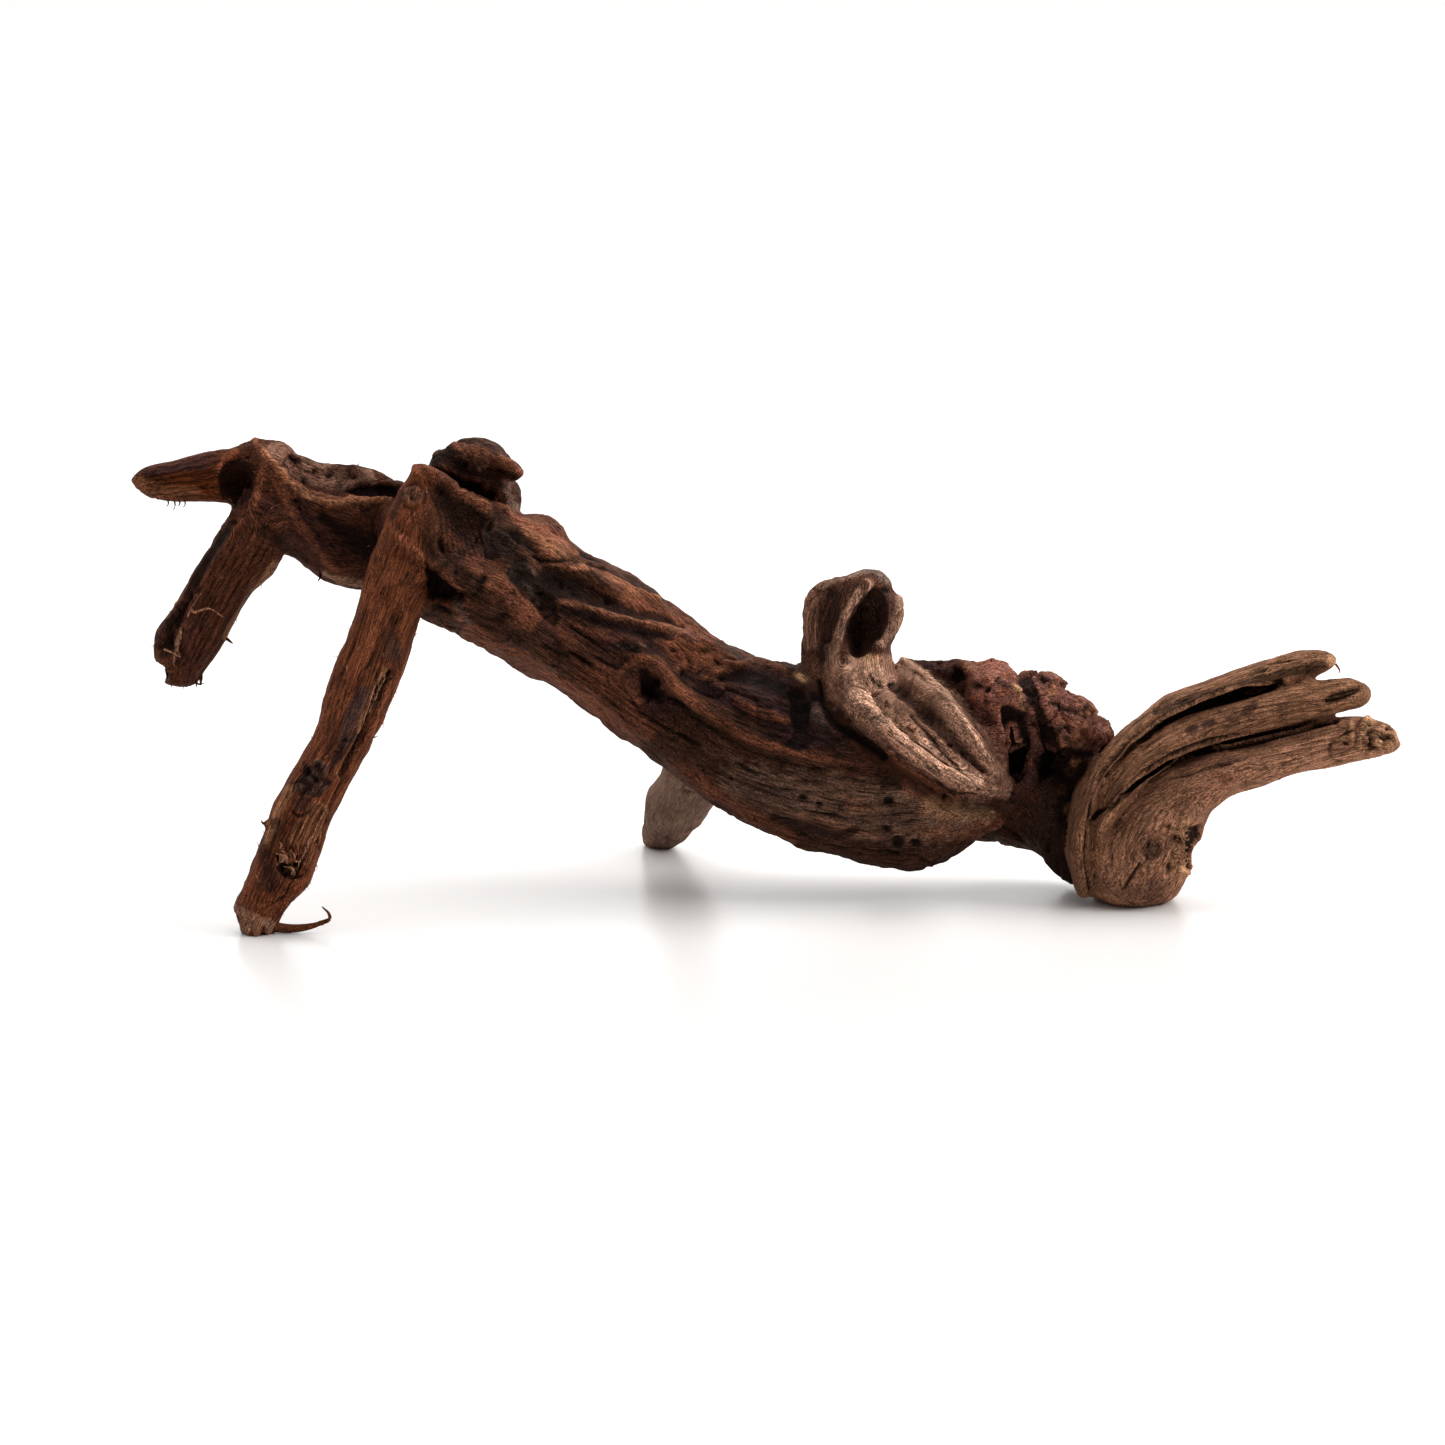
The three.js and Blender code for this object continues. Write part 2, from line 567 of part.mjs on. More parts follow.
const driftwood = new THREE.Group();
driftwood.add(
  mesh("trunk", makeTrunk(), COLOURS.red),
  mesh("front_leg", makeFrontLeg(), COLOURS.red),
  mesh("rear_leg", makeRearLeg(), COLOURS.grey),
  mesh("left_arm", makeLeftArm(), COLOURS.dark),
  mesh("left_stub", makeLeftStub(), COLOURS.red),
  mesh("hanging_branch", makeHangingBranch(), COLOURS.dark),
  mesh("curl", makeCurl(), COLOURS.dark),
  mesh("foot", makeFoot(), COLOURS.tan),
  mesh("upper_finger", makeUpperFinger(), COLOURS.tan),
  mesh("middle_finger", makeMiddleFinger(), COLOURS.tan),
);

export default driftwood;
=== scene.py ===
"""Aquarium driftwood on a pale table. Lengths are in millimetres, and become metres where meshes are made."""

import math

import bmesh
import bpy
import numpy as np
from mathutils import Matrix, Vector
from mathutils.bvhtree import BVHTree
from mathutils.kdtree import KDTree


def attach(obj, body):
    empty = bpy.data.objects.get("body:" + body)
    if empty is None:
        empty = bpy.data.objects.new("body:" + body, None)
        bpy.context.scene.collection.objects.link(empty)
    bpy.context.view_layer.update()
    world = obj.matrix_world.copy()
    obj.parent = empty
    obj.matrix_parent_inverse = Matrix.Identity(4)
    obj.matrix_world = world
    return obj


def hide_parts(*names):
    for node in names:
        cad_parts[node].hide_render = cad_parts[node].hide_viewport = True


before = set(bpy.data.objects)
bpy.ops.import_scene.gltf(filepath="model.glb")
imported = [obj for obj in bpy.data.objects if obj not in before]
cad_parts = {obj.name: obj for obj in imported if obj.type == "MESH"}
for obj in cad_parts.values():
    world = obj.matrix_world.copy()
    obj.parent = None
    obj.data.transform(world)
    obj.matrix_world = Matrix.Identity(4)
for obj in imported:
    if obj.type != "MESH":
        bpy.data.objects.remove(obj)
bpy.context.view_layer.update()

MM = 0.001
NAMES = list(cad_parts)

# The camera stands in front, a little above, and looks along +Y.
TARGET = np.array([-12.5, 0.0, 51.5])
DISTANCE = 1600.0
TILT = math.radians(12)
FIELD_WIDTH = 433.5
SENSOR = 36.0
EYE = TARGET + DISTANCE * np.array([0.0, -math.cos(TILT), math.sin(TILT)])

# The size of the skin's faces, the reach over which they are smoothed, and the share of that at the slits.
VOXEL = 0.56
SMOOTHED_OVER = 23.0
SLIT_SHARE = 0.1
# How far one round of smoothing moves a value towards the average of its neighbours.
PULL = 0.6
# Where the trunk is cut into four pieces, along x.
TRUNK_CUTS = (-64.0, -12.0, 40.0)
TRUNK_PLACES = ("shoulder", "stem", "belly", "burl")

# The corner between the crest and the front leg, which is drawn as one surface.
CORNER = (-101.5, 110.5)
CORNER_REACH = (16.0, 17.0)
HEALED_OVER = 55.0

# Where the burl and the neck under it begin, the neck painted dark as the shade of its recess, and where the
# burl's colour and the rear leg's painted haze fade.
BURL_X = (58, 66)
BURL_Z = (34, 48)
BURL_FADE_Y = (2, 24)
NECK_SHADE_X = (70, 84)
NECK_SHADE_Z = (52, 40)
REAR_LEG_HAZE_FADE_Z = (30, 42)

KNOTS_BEHIND = 16
PITS_BEHIND = 60

# The limb that each limb grows from, and its middle line as points [x, z, depth, radius] seen from the front.
LIMBS = {
    "trunk": (None, [[-106, 111, 0, 14], [-92, 101, 0, 22], [-72, 92, 1, 24], [-50, 77, 4, 23],
                     [-25, 59, 4, 23], [0, 46, 1, 25], [25, 38, -1, 27], [50, 36, 0, 25], [72, 36, 3, 20],
                     [90, 24, 4, 20], [104, 12, -4, 16]]),
    "front_leg": ("trunk", [[-100, 124, -8, 7], [-105, 106, -12, 11], [-112, 86, -21, 11],
                            [-119, 66, -29, 11], [-127, 46, -37, 10], [-139, 24, -44, 10],
                            [-147, 2, -50, 10], [-153, -14, -53, 7]]),
    "rear_leg": ("trunk", [[-16, 50, 14, 12], [-20, 40, 26, 12], [-24, 31, 38, 11], [-29, 20, 54, 9],
                           [-32, 12, 58, 6]]),
    "left_arm": ("trunk", [[-98, 106, 9, 15], [-112, 110, 12, 17], [-126, 113, 12, 18], [-140, 118, 10, 17],
                           [-152, 124, 7, 13]]),
    "left_stub": ("left_arm", [[-150, 125, 7, 9], [-165, 126, 4, 7], [-178, 125, 3, 6], [-188, 124, 2, 4]]),
    "hanging_branch": ("left_arm", [[-146, 117, 5, 12], [-152, 107, 3, 10], [-161, 95, 1, 9],
                                    [-169, 82, -2, 9], [-175, 68, -4, 8]]),
    "curl": ("trunk", [[26, 56, -3, 16], [25, 70, -3, 15], [25, 84, -3, 15], [30, 97, -1, 12]]),
    "spoon": ("curl", [[24, 70, -24, 9], [28, 59, -27, 8], [37, 50, -28, 9], [48, 42, -28, 9],
                       [59, 34, -26, 9], [72, 29, -22, 8]]),
    "ridge": ("spoon",
              [[36, 72, -24, 7], [47, 65, -27, 8], [56, 56, -28, 9], [64, 46, -27, 9], [70, 36, -24, 7]]),
    "foot": ("trunk", [[103, -2, -14, 14], [110, 8, -13, 19], [116, 20, -12, 18], [126, 31, -12, 14],
                       [142, 38, -12, 9], [160, 42, -12, 8], [180, 47, -11, 7], [190, 45, -10, 4]]),
    "upper_finger": ("foot", [[97, 0, -12, 9], [95, 12, -12, 9], [97, 26, -12, 9], [103, 38, -10, 8],
                              [113, 50, -9, 7], [128, 59, -8, 6], [148, 65, -6, 6], [170, 70, -6, 4]]),
    "middle_finger": ("foot", [[100, 12, -14, 9], [101, 22, -14, 9], [107, 32, -14, 9], [117, 42, -13, 8],
                               [132, 50, -11, 8], [150, 56, -10, 8], [180, 60, -10, 5]]),
}


# Large primes that scramble the numbers of a noise's cell.
PRIMES = (73856093, 19349663, 83492791)
SEED_PRIME = 2654435761


# Small helpers.
def seen(x, z, depth):
    """The point at a depth behind the plane y = 0 that the eye sees at x, z on it."""
    return EYE + (np.array([x, 0.0, z]) - EYE) * (1 - depth / EYE[1])


def flat_view(points):
    """Where the eye sees points on the plane y = 0, as x and z."""
    share = -EYE[1] / (points[:, 1] - EYE[1])
    return EYE[[0, 2]] + (points[:, [0, 2]] - EYE[[0, 2]]) * share[:, None]


def step(low, high, value):
    """0 below low, 1 above high, smooth between."""
    share = np.clip((value - low) / (high - low), 0, 1)
    return share * share * (3 - 2 * share)


def unit(rows):
    """Rows of numbers, each brought to length 1."""
    return rows / (np.linalg.norm(rows, axis=1, keepdims=True) + 1e-12)


def smooth_path(points, per_span=5):
    """A Catmull-Rom path through rows of numbers."""
    points = np.asarray(points, float)
    padded = np.vstack([2 * points[0] - points[1], points, 2 * points[-1] - points[-2]])
    path = []
    for i in range(len(points) - 1):
        a, b, c, d = padded[i : i + 4]
        for t in np.arange(per_span) / per_span:
            square = 2 * a - 5 * b + 4 * c - d
            cube = 3 * b - a - 3 * c + d
            path.append(0.5 * (2 * b + (c - a) * t + square * t**2 + cube * t**3))
    return np.array(path + [points[-1]])


def noise(points, seed=0):
    """Smooth value noise from -1 to 1, with features about one unit wide."""
    cell = np.floor(points).astype(np.int64)
    part = points - cell
    part = part * part * part * (part * (part * 6 - 15) + 10)
    total = np.zeros(len(points))
    for corner in np.ndindex(2, 2, 2):
        at = cell + corner
        code = at[:, 0] * PRIMES[0] ^ at[:, 1] * PRIMES[1] ^ at[:, 2] * PRIMES[2] ^ (seed * SEED_PRIME + 97)
        code = (code ^ (code >> 13)) * 1274126177
        code = (code ^ (code >> 16)) & 0xFFFFFF
        share = np.prod(np.where(corner, part, 1 - part), axis=1)
        total += share * (code / 0x7FFFFF - 1)
    return total


def rough(points, seed=0, octaves=3):
    """Several noises, each finer and fainter than the last."""
    return sum(noise(points * 2.03**i + 17 * i, seed + i) * 0.5**i for i in range(octaves)) / 1.4


def groove(value, width):
    """1 on the lines where a noise passes through zero, falling to 0 beside them."""
    return np.exp(-((value / width) ** 2))


def facets(points, seed):
    """Heights from about -1 to 1 of flat, tilted chips about one unit wide, and how near their edges are."""
    cell = np.floor(points)
    nearest = np.full(len(points), 1e9)
    second = np.full(len(points), 1e9)
    height = np.zeros(len(points))
    for shift in np.ndindex(3, 3, 3):
        corner = cell + shift - 1
        chance = np.stack([noise(corner, seed + i) for i in range(6)], 1)
        away = points - corner - 0.5 - 0.45 * chance[:, :3]
        distance = np.linalg.norm(away, axis=1)
        closer = distance < nearest
        second = np.where(closer, nearest, np.minimum(second, distance))
        tilted = (away * chance[:, 3:]).sum(1) * 1.6 + 0.5 * chance[:, 3]
        height = np.where(closer, tilted, height)
        nearest = np.minimum(nearest, distance)
    return height, 1 - step(0.0, 0.22, second - nearest)


def new_object(name, data):
    """An object in the scene that holds a mesh, a light or a camera."""
    thing = bpy.data.objects.new(name, data)
    bpy.context.scene.collection.objects.link(thing)
    return thing


# One skin over all the limbs.
def joined_limbs():
    """One mesh of all the CAD limbs, each swollen until it meets its neighbours."""
    whole = bmesh.new()
    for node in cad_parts.values():
        limb = bmesh.new()
        limb.from_mesh(node.data)
        bmesh.ops.remove_doubles(limb, verts=limb.verts, dist=1e-6)
        bmesh.ops.recalc_face_normals(limb, faces=limb.faces)
        limb.normal_update()
        for corner in limb.verts:
            corner.co += corner.normal * 0.25 * MM
        copy = bpy.data.meshes.new("limb")
        limb.to_mesh(copy)
        whole.from_mesh(copy)
        limb.free()
        bpy.data.meshes.remove(copy)
    mesh = bpy.data.meshes.new("joined")
    whole.to_mesh(mesh)
    whole.free()
    return mesh


def remeshed(mesh):
    """The vertices in mm and the four-sided faces of one even skin over a mesh."""
    thing = new_object("joined", mesh)
    remesh = thing.modifiers.new("skin", "REMESH")
    remesh.mode = "VOXEL"
    remesh.voxel_size = VOXEL * MM
    remesh.adaptivity = 0
    skin = thing.evaluated_get(bpy.context.evaluated_depsgraph_get()).to_mesh()
    points = np.zeros(len(skin.vertices) * 3)
    skin.vertices.foreach_get("co", points)
    faces = np.zeros(len(skin.polygons) * 4, int)
    skin.polygons.foreach_get("vertices", faces)
    thing.to_mesh_clear()
    bpy.data.objects.remove(thing)
    bpy.data.meshes.remove(mesh)
    return points.reshape(-1, 3) / MM, faces.reshape(-1, 4)


class Web:
    """The skin's edges, for averages over each vertex's neighbours."""

    def __init__(self, faces, count):
        ends = np.vstack([faces[:, [i, (i + 1) % 4]] for i in range(4)])
        self.a, self.b = np.unique(np.sort(ends, axis=1), axis=0).T
        self.count = count
        self.degree = np.bincount(self.a, minlength=count) + np.bincount(self.b, minlength=count)
        self.degree = np.maximum(self.degree, 1)

    def average(self, values):
        columns = values.reshape(self.count, -1).T
        sums = [
            np.bincount(self.a, column[self.b], self.count) + np.bincount(self.b, column[self.a], self.count)
            for column in columns
        ]
        return (np.array(sums) / self.degree).T.reshape(values.shape)

    def smooth(self, values, reach, share=PULL):
        """Averages values over a reach in mm, whatever the size of the skin's faces."""
        for _ in range(max(1, round(reach / VOXEL**2))):
            values = values + share * (self.average(values) - values)
        return values


def normals_of(points, faces):
    a, b, c, d = (points[faces[:, i]] for i in range(4))
    across = np.cross(c - a, d - b)
    normals = np.zeros_like(points)
    for i in range(4):
        for axis in range(3):
            normals[:, axis] += np.bincount(faces[:, i], across[:, axis], len(points))
    return unit(normals)


def node_of_each(points):
    """The number of the CAD node that lies nearest to each point."""
    nearest = np.full(len(points), 1e9)
    label = np.zeros(len(points), int)
    for number, node in enumerate(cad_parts.values()):
        tree = BVHTree.FromPolygons([v.co for v in node.data.vertices],
                                    [p.vertices for p in node.data.polygons])
        corners = np.array([v.co for v in node.data.vertices]) / MM
        close = np.all((points > corners.min(0) - 2.5) & (points < corners.max(0) + 2.5), axis=1)
        for i in np.flatnonzero(close):
            distance = tree.find_nearest(Vector(points[i] * MM))[3] / MM
            if distance < nearest[i]:
                nearest[i] = distance
                label[i] = number
    return label


# Grain: every point is placed in its limb as if the limb were drawn out straight.
class Limb:
    """A limb's middle line with a frame along it. start is how far along the wood its first point lies."""

    def __init__(self, stations, parent):
        path = smooth_path(stations, 4)
        self.radius = path[:, 3]
        self.line = np.array([seen(x, z, depth) for x, z, depth, _ in path])
        self.along = unit(np.gradient(self.line, axis=0))
        toward = np.array([0.0, -1.0, 0.0])
        self.front = unit(toward - self.along * (self.along @ toward)[:, None])
        self.side = np.cross(self.along, self.front)
        steps = np.linalg.norm(np.diff(self.line, axis=0), axis=1)
        start = 0.0
        if parent:
            start = parent.length[np.argmin(np.linalg.norm(parent.line - self.line[0], axis=1))]
        self.length = start + np.concatenate([[0], np.cumsum(steps)])

    def place(self, points):
        """Rows of [side, front, along], the direction of growth, and how strongly each point belongs here."""
        nearest = np.zeros(len(points), int)
        best = np.full(len(points), 1e12)
        for i, middle in enumerate(self.line):
            distance = ((points - middle) ** 2).sum(1) / self.radius[i] ** 2
            closer = distance < best
            best[closer] = distance[closer]
            nearest[closer] = i
        away = points - self.line[nearest]
        rows = np.stack([(away * axis[nearest]).sum(1) for axis in (self.side, self.front, self.along)], 1)
        rows[:, 2] += self.length[nearest]
        return rows, self.along[nearest], np.exp(-5 * best) + 1e-12


def grain_of(points):
    """Each point's place in straightened wood and the direction in which the wood grows there."""
    limbs = {}
    total = np.zeros((len(points), 3))
    flow = np.zeros((len(points), 3))
    weights = np.zeros((len(points), 1))
    for name, (parent, stations) in LIMBS.items():
        limbs[name] = Limb(stations, limbs.get(parent))
        rows, along, weight = limbs[name].place(points)
        weight = weight[:, None]
        total += rows * weight
        flow += along * weight
        weights += weight
    return total / weights, unit(flow)


# Strokes: what is carved or raised on the side that faces the eye.
# The colour masks of the strokes: the wood's own stains and tones, and also painted shade in hollows and
# painted highlights.
STAINS_AND_PAINTED_LIGHT = ("pale", "purple", "grey", "warm", "tan")


class Carving:
    """Rise in mm and colour masks that strokes build up on the skin."""

    def __init__(self, points, normals, label):
        self.points = points
        self.normals = normals
        self.place = flat_view(points)
        self.facing = step(-0.05, 0.3, (normals * unit(EYE - points)).sum(1))
        self.label = label
        self.ragged = rough(points / 2.2, 40, 2)
        self.rise = np.zeros(len(points))
        self.masks = {name: np.zeros(len(points)) for name in ("dark", *STAINS_AND_PAINTED_LIGHT)}

    def on(self, nodes):
        """A brush that touches only the nodes that are named."""
        return Brush(self, nodes.split())

    def add(self, spots, strength, width, height, masks):
        """Adds a stroke. A wide one gets a ragged edge of colour, a fine one stays soft."""
        strength = strength * self.facing[spots]
        self.rise[spots] += height * strength
        torn = step(0.25, 0.75, strength + 0.35 * self.ragged[spots] * step(0.05, 0.4, strength))
        strength = strength + (torn - strength) * step(0.8, 1.6, width)
        for name, share in masks.items():
            self.masks[name][spots] = np.maximum(self.masks[name][spots], share * strength)


class Brush:
    """Strokes on some of the nodes. Their places are x and z as the eye sees them on the plane y = 0."""

    def __init__(self, carving, names):
        numbers = [NAMES.index(name) for name in names]
        self.carving = carving
        self.own = np.flatnonzero(np.isin(carving.label, numbers) & (carving.facing > 0))
        self.place = carving.place[self.own]

    def near(self, path, reach):
        """The vertices near a path, and where the eye sees them."""
        low, high = path[:, :2].min(0) - reach, path[:, :2].max(0) + reach
        close = np.all((self.place > low) & (self.place < high), axis=1)
        return self.own[close], self.place[close]

    def stroke(self, points, height=0.0, tight=1.0, **masks):
        """A soft line through points [x, z, half width]. tight above 1 gives it steeper sides."""
        path = smooth_path(points, 4)
        spots, here = self.near(path, 2.5 * path[:, 2].max())
        nearest = np.full(len(spots), 1e9)
        for a, b in zip(path, path[1:]):
            span = b[:2] - a[:2]
            t = np.clip(((here - a[:2]) @ span) / (span @ span + 1e-9), 0, 1)
            gap = here - a[:2] - t[:, None] * span
            nearest = np.minimum(nearest, np.linalg.norm(gap, axis=1) / (a[2] + (b[2] - a[2]) * t))
        self.carving.add(spots, np.exp(-(nearest ** (2 * tight))), path[:, 2].max(), height, masks)

    def patch(self, outline, height=0.0, edge=0.8, **masks):
        """A filled outline of points [x, z], with an edge that is some mm soft."""
        outline = np.array(outline, float)
        spots, here = self.near(outline, 2 * edge)
        nearest = np.full(len(spots), 1e9)
        inside = np.zeros(len(spots), bool)
        for a, b in zip(outline, np.roll(outline, -1, axis=0)):
            t = np.clip(((here - a) @ (b - a)) / ((b - a) @ (b - a)), 0, 1)
            nearest = np.minimum(nearest, np.linalg.norm(here - a - t[:, None] * (b - a), axis=1))
            crosses = (a[1] > here[:, 1]) != (b[1] > here[:, 1])
            at_x = a[0] + (here[:, 1] - a[1]) * (b[0] - a[0]) / (b[1] - a[1] + 1e-9)
            inside ^= crosses & (here[:, 0] < at_x)
        signed = np.where(inside, nearest, -nearest)
        self.carving.add(spots, step(-edge, edge, signed), 2.0, height, masks)

    def spot(self, x, z, across, high, height=0.0, turn=0.0, tight=1.5, **masks):
        """A soft round or long patch, turned by some degrees in the view."""
        spots, here = self.near(np.array([[x, z]]), 2.5 * max(across, high))
        gap = here - (x, z)
        c, s = math.cos(math.radians(turn)), math.sin(math.radians(turn))
        u = (gap[:, 0] * c + gap[:, 1] * s) / across
        v = (gap[:, 1] * c - gap[:, 0] * s) / high
        self.carving.add(spots, np.exp(-((u * u + v * v) ** tight)), min(across, high), height, masks)

    def rings(self, x, z, sizes, height=-0.35, squash=0.8, **masks):
        """Fine rings round a knot."""
        turns = np.linspace(0, 2 * math.pi, 9)
        for size in sizes:
            loop = [[x + size * math.cos(t), z + squash * size * math.sin(t), 0.55] for t in turns]
            self.stroke(loop, height, **masks)

    def fan(self, first, last, count, height=-0.35, **masks):
        """Lines spread evenly from one stroke to another."""
        first, last = np.array(first, float), np.array(last, float)
        for i in range(count):
            share = i / (count - 1)
            wave = 0.25 * math.sin(7.1 * i)
            self.stroke(first + (last - first) * share + [wave, wave, 0], height, **masks)

    def scatter(self, box, outline, count, sizes, height, seed, dark=0.0, **light):
        """Small lumps and hollows at random inside a box, and inside an outline if one is given."""
        chance = np.random.default_rng(seed)
        sides = [] if outline is None else list(zip(outline, outline[1:] + outline[:1]))
        for _ in range(count):
            x, z = chance.uniform(*box)
            size, rise, turn = chance.uniform(*sizes), chance.uniform(-height, height), 180 * chance.random()
            crossed = sum((a[1] > z) != (b[1] > z) and x < a[0] + (z - a[1]) * (b[0] - a[0]) / (b[1] - a[1])
                          for a, b in sides)
            if sides and crossed % 2 == 0:
                continue
            masks = {"dark": dark} if rise < 0 else light
            self.spot(x, z, size, max(0.6, 0.5 * size), rise, turn, 1.5, **masks)


def carve_crest(c):
    """Where the front leg runs into the trunk: the crest, its knot and grain, and the crotch's hollow,
    painted dark as its shade.
    """
    trunk = c.on("trunk")
    leg = c.on("front_leg")
    both = c.on("trunk front_leg")
    both.stroke([[-95, 118, 4], [-97, 111, 4], [-99, 104, 3.4]], 0.8)
    crest = [[-103.3, 128, 1.5], [-99.8, 127.6, 1.5], [-93, 123, 1.5], [-88, 119.4, 1.7], [-83, 117.2, 1.7],
             [-77, 115, 1.6]]
    both.stroke(crest, 2.1, 1.2, warm=0.3)
    both.stroke([[x - 0.6, z - 3.4, 1.8] for x, z, _ in crest[1:]], -0.3)
    both.fan([[-101, 125, 0.5], [-97, 115, 0.6], [-96, 104, 0.5]],
             [[-84, 115, 0.5], [-77, 107, 0.6], [-72, 101, 0.5]], 15, -0.35, dark=0.75)
    both.stroke([[-100, 116, 3], [-97, 110, 4], [-92, 106, 3]], 0, warm=0.3)
    trunk.stroke([[-86, 101, 4], [-80, 94, 6], [-72, 84, 5]], 0, warm=0.4)
    both.spot(-104.4, 120.4, 3.4, 3.2, 0.7, 0, grey=0.25)
    both.stroke([[-106.6, 123.4, 0.5], [-103.4, 124, 0.6], [-101, 121.6, 0.6], [-101.4, 118, 0.5]], -0.5,
                dark=0.6)
    both.stroke([[-107.6, 121, 0.5], [-107, 117.6, 0.6], [-104, 116.2, 0.5]], -0.4, dark=0.5)
    both.stroke([[-105.8, 121.4, 0.5], [-104, 122, 0.6], [-102.8, 120.2, 0.5], [-104, 118.6, 0.5]], -0.5,
                dark=0.5)
    both.spot(-104.8, 119.8, 0.8, 1.3, -0.7, 30, dark=0.7)
    both.stroke([[-108, 125, 1], [-109, 120, 1.4], [-111, 114, 1]], -0.5, dark=0.6)
    # The crotch's hollow and the dips round it are painted dark as their shade.
    trunk.stroke([[-102, 99, 1.6], [-99.5, 95.5, 3], [-95.5, 92, 3.2], [-92, 89.6, 1.8]], -3.2, 1.2,
                 dark=0.8)
    trunk.scatter(((-103, 87), (-90, 100)), None, 26, (1.0, 2.0), 0.9, seed=10, warm=0.3, dark=0.8)
    both.stroke([[-110, 108.5, 1.2], [-102, 101.5, 1.7], [-97, 97, 1.7], [-91.5, 91.5, 1.4]], 1.6, warm=0.5)
    trunk.stroke([[-100.5, 89, 1], [-96, 88.4, 1.2], [-90.4, 84, 1.2]], 1.0, warm=0.4)
    trunk.stroke([[-97, 86.9, 0.7], [-93.5, 85.4, 0.9]], -0.9, dark=1)
    trunk.stroke([[-93, 89, 1], [-90.5, 86, 1.3], [-88, 82, 1]], 0.4, purple=0.4, grey=0.25)
    leg.spot(-106.5, 95, 2.4, 3, -0.4, 0, 1, dark=0.55)
    # The pits are painted dark as their shade, inside rings of grain.
    pits = ((-96.3, 105.4, 1.2, 2.3, 15), (-79.4, 118.2, 1.4, 1.1, 0), (-81.6, 112.2, 1, 1.6, -15))
    for x, z, across, high, turn in pits:
        trunk.spot(x, z, across, high, -1.5, turn, dark=1)
        trunk.rings(x, z, (high + 1.2,), -0.2, 1.0, dark=0.45)
    trunk.spot(-76.8, 114.5, 1.2, 1.2, 0.8, warm=0.4)
    trunk.rings(-77.3, 107, (1.2, 2.6, 4.2), -0.45, 0.8, dark=0.85)
    trunk.spot(-77.3, 107, 0.8, 0.7, -0.6, dark=0.7)
    for gap in (1.6, 3.1, 4.8):
        trunk.stroke([[-80 - gap, 112, 0.5], [-79.6 - gap, 107, 0.5], [-78 - gap, 102, 0.5]], -0.4,
                     dark=0.75)
    trunk.rings(-75.1, 101.9, (0.9, 1.9), -0.3, 0.8, dark=0.6)
    trunk.spot(-84.5, 95, 2, 1.6, -0.6, 30, dark=0.8)
    trunk.fan([[-96, 103, 0.5], [-88, 96, 0.6], [-78, 88, 0.5]],
              [[-88, 84, 0.5], [-80, 80, 0.6], [-72, 76, 0.5]], 8, -0.35, dark=0.5)


def carve_knob(c):
    """The knob behind the crest: a light brow over a hollow painted dark as its shade, and a painted
    highlight on its right side.
    """
    trunk = c.on("trunk")
    gap = [[-97, 128, 0.8], [-91, 124.2, 1.3], [-86, 121.8, 2.2], [-81.5, 120.5, 1.4]]
    # The gap to the crest is painted dark as its shade.
    trunk.stroke(gap, -2.2, 1.1, dark=0.75, purple=0.8)
    trunk.stroke([[-88, 126, 3], [-83, 124, 3.4], [-78, 123, 2]], 0, purple=0.6)
    trunk.scatter(((-92, 120), (-75, 134)), None, 34, (1.0, 2.4), 0.7, seed=14, warm=0.3, dark=0.35)
    trunk.stroke([[-92, 135.2, 1.6], [-84, 133.4, 2], [-77, 130.4, 2], [-72.5, 127.5, 1.6]], 1.0, warm=0.5)
    # The dip under the brow is painted dark as its shade.
    trunk.stroke([[-95, 131.5, 1.8], [-88, 128.4, 2.2], [-80, 127, 1.8], [-75, 126, 1.2]], -0.9, dark=0.7)
    # A painted highlight on the knob's right side.
    trunk.stroke([[-77.5, 124.5, 1.4], [-76.5, 120.5, 1.4], [-74, 116.5, 1.4]], 0.9, grey=0.6)
    trunk.stroke([[-97, 131, 1.8], [-93, 133.5, 1.6]], 0, dark=0.8)


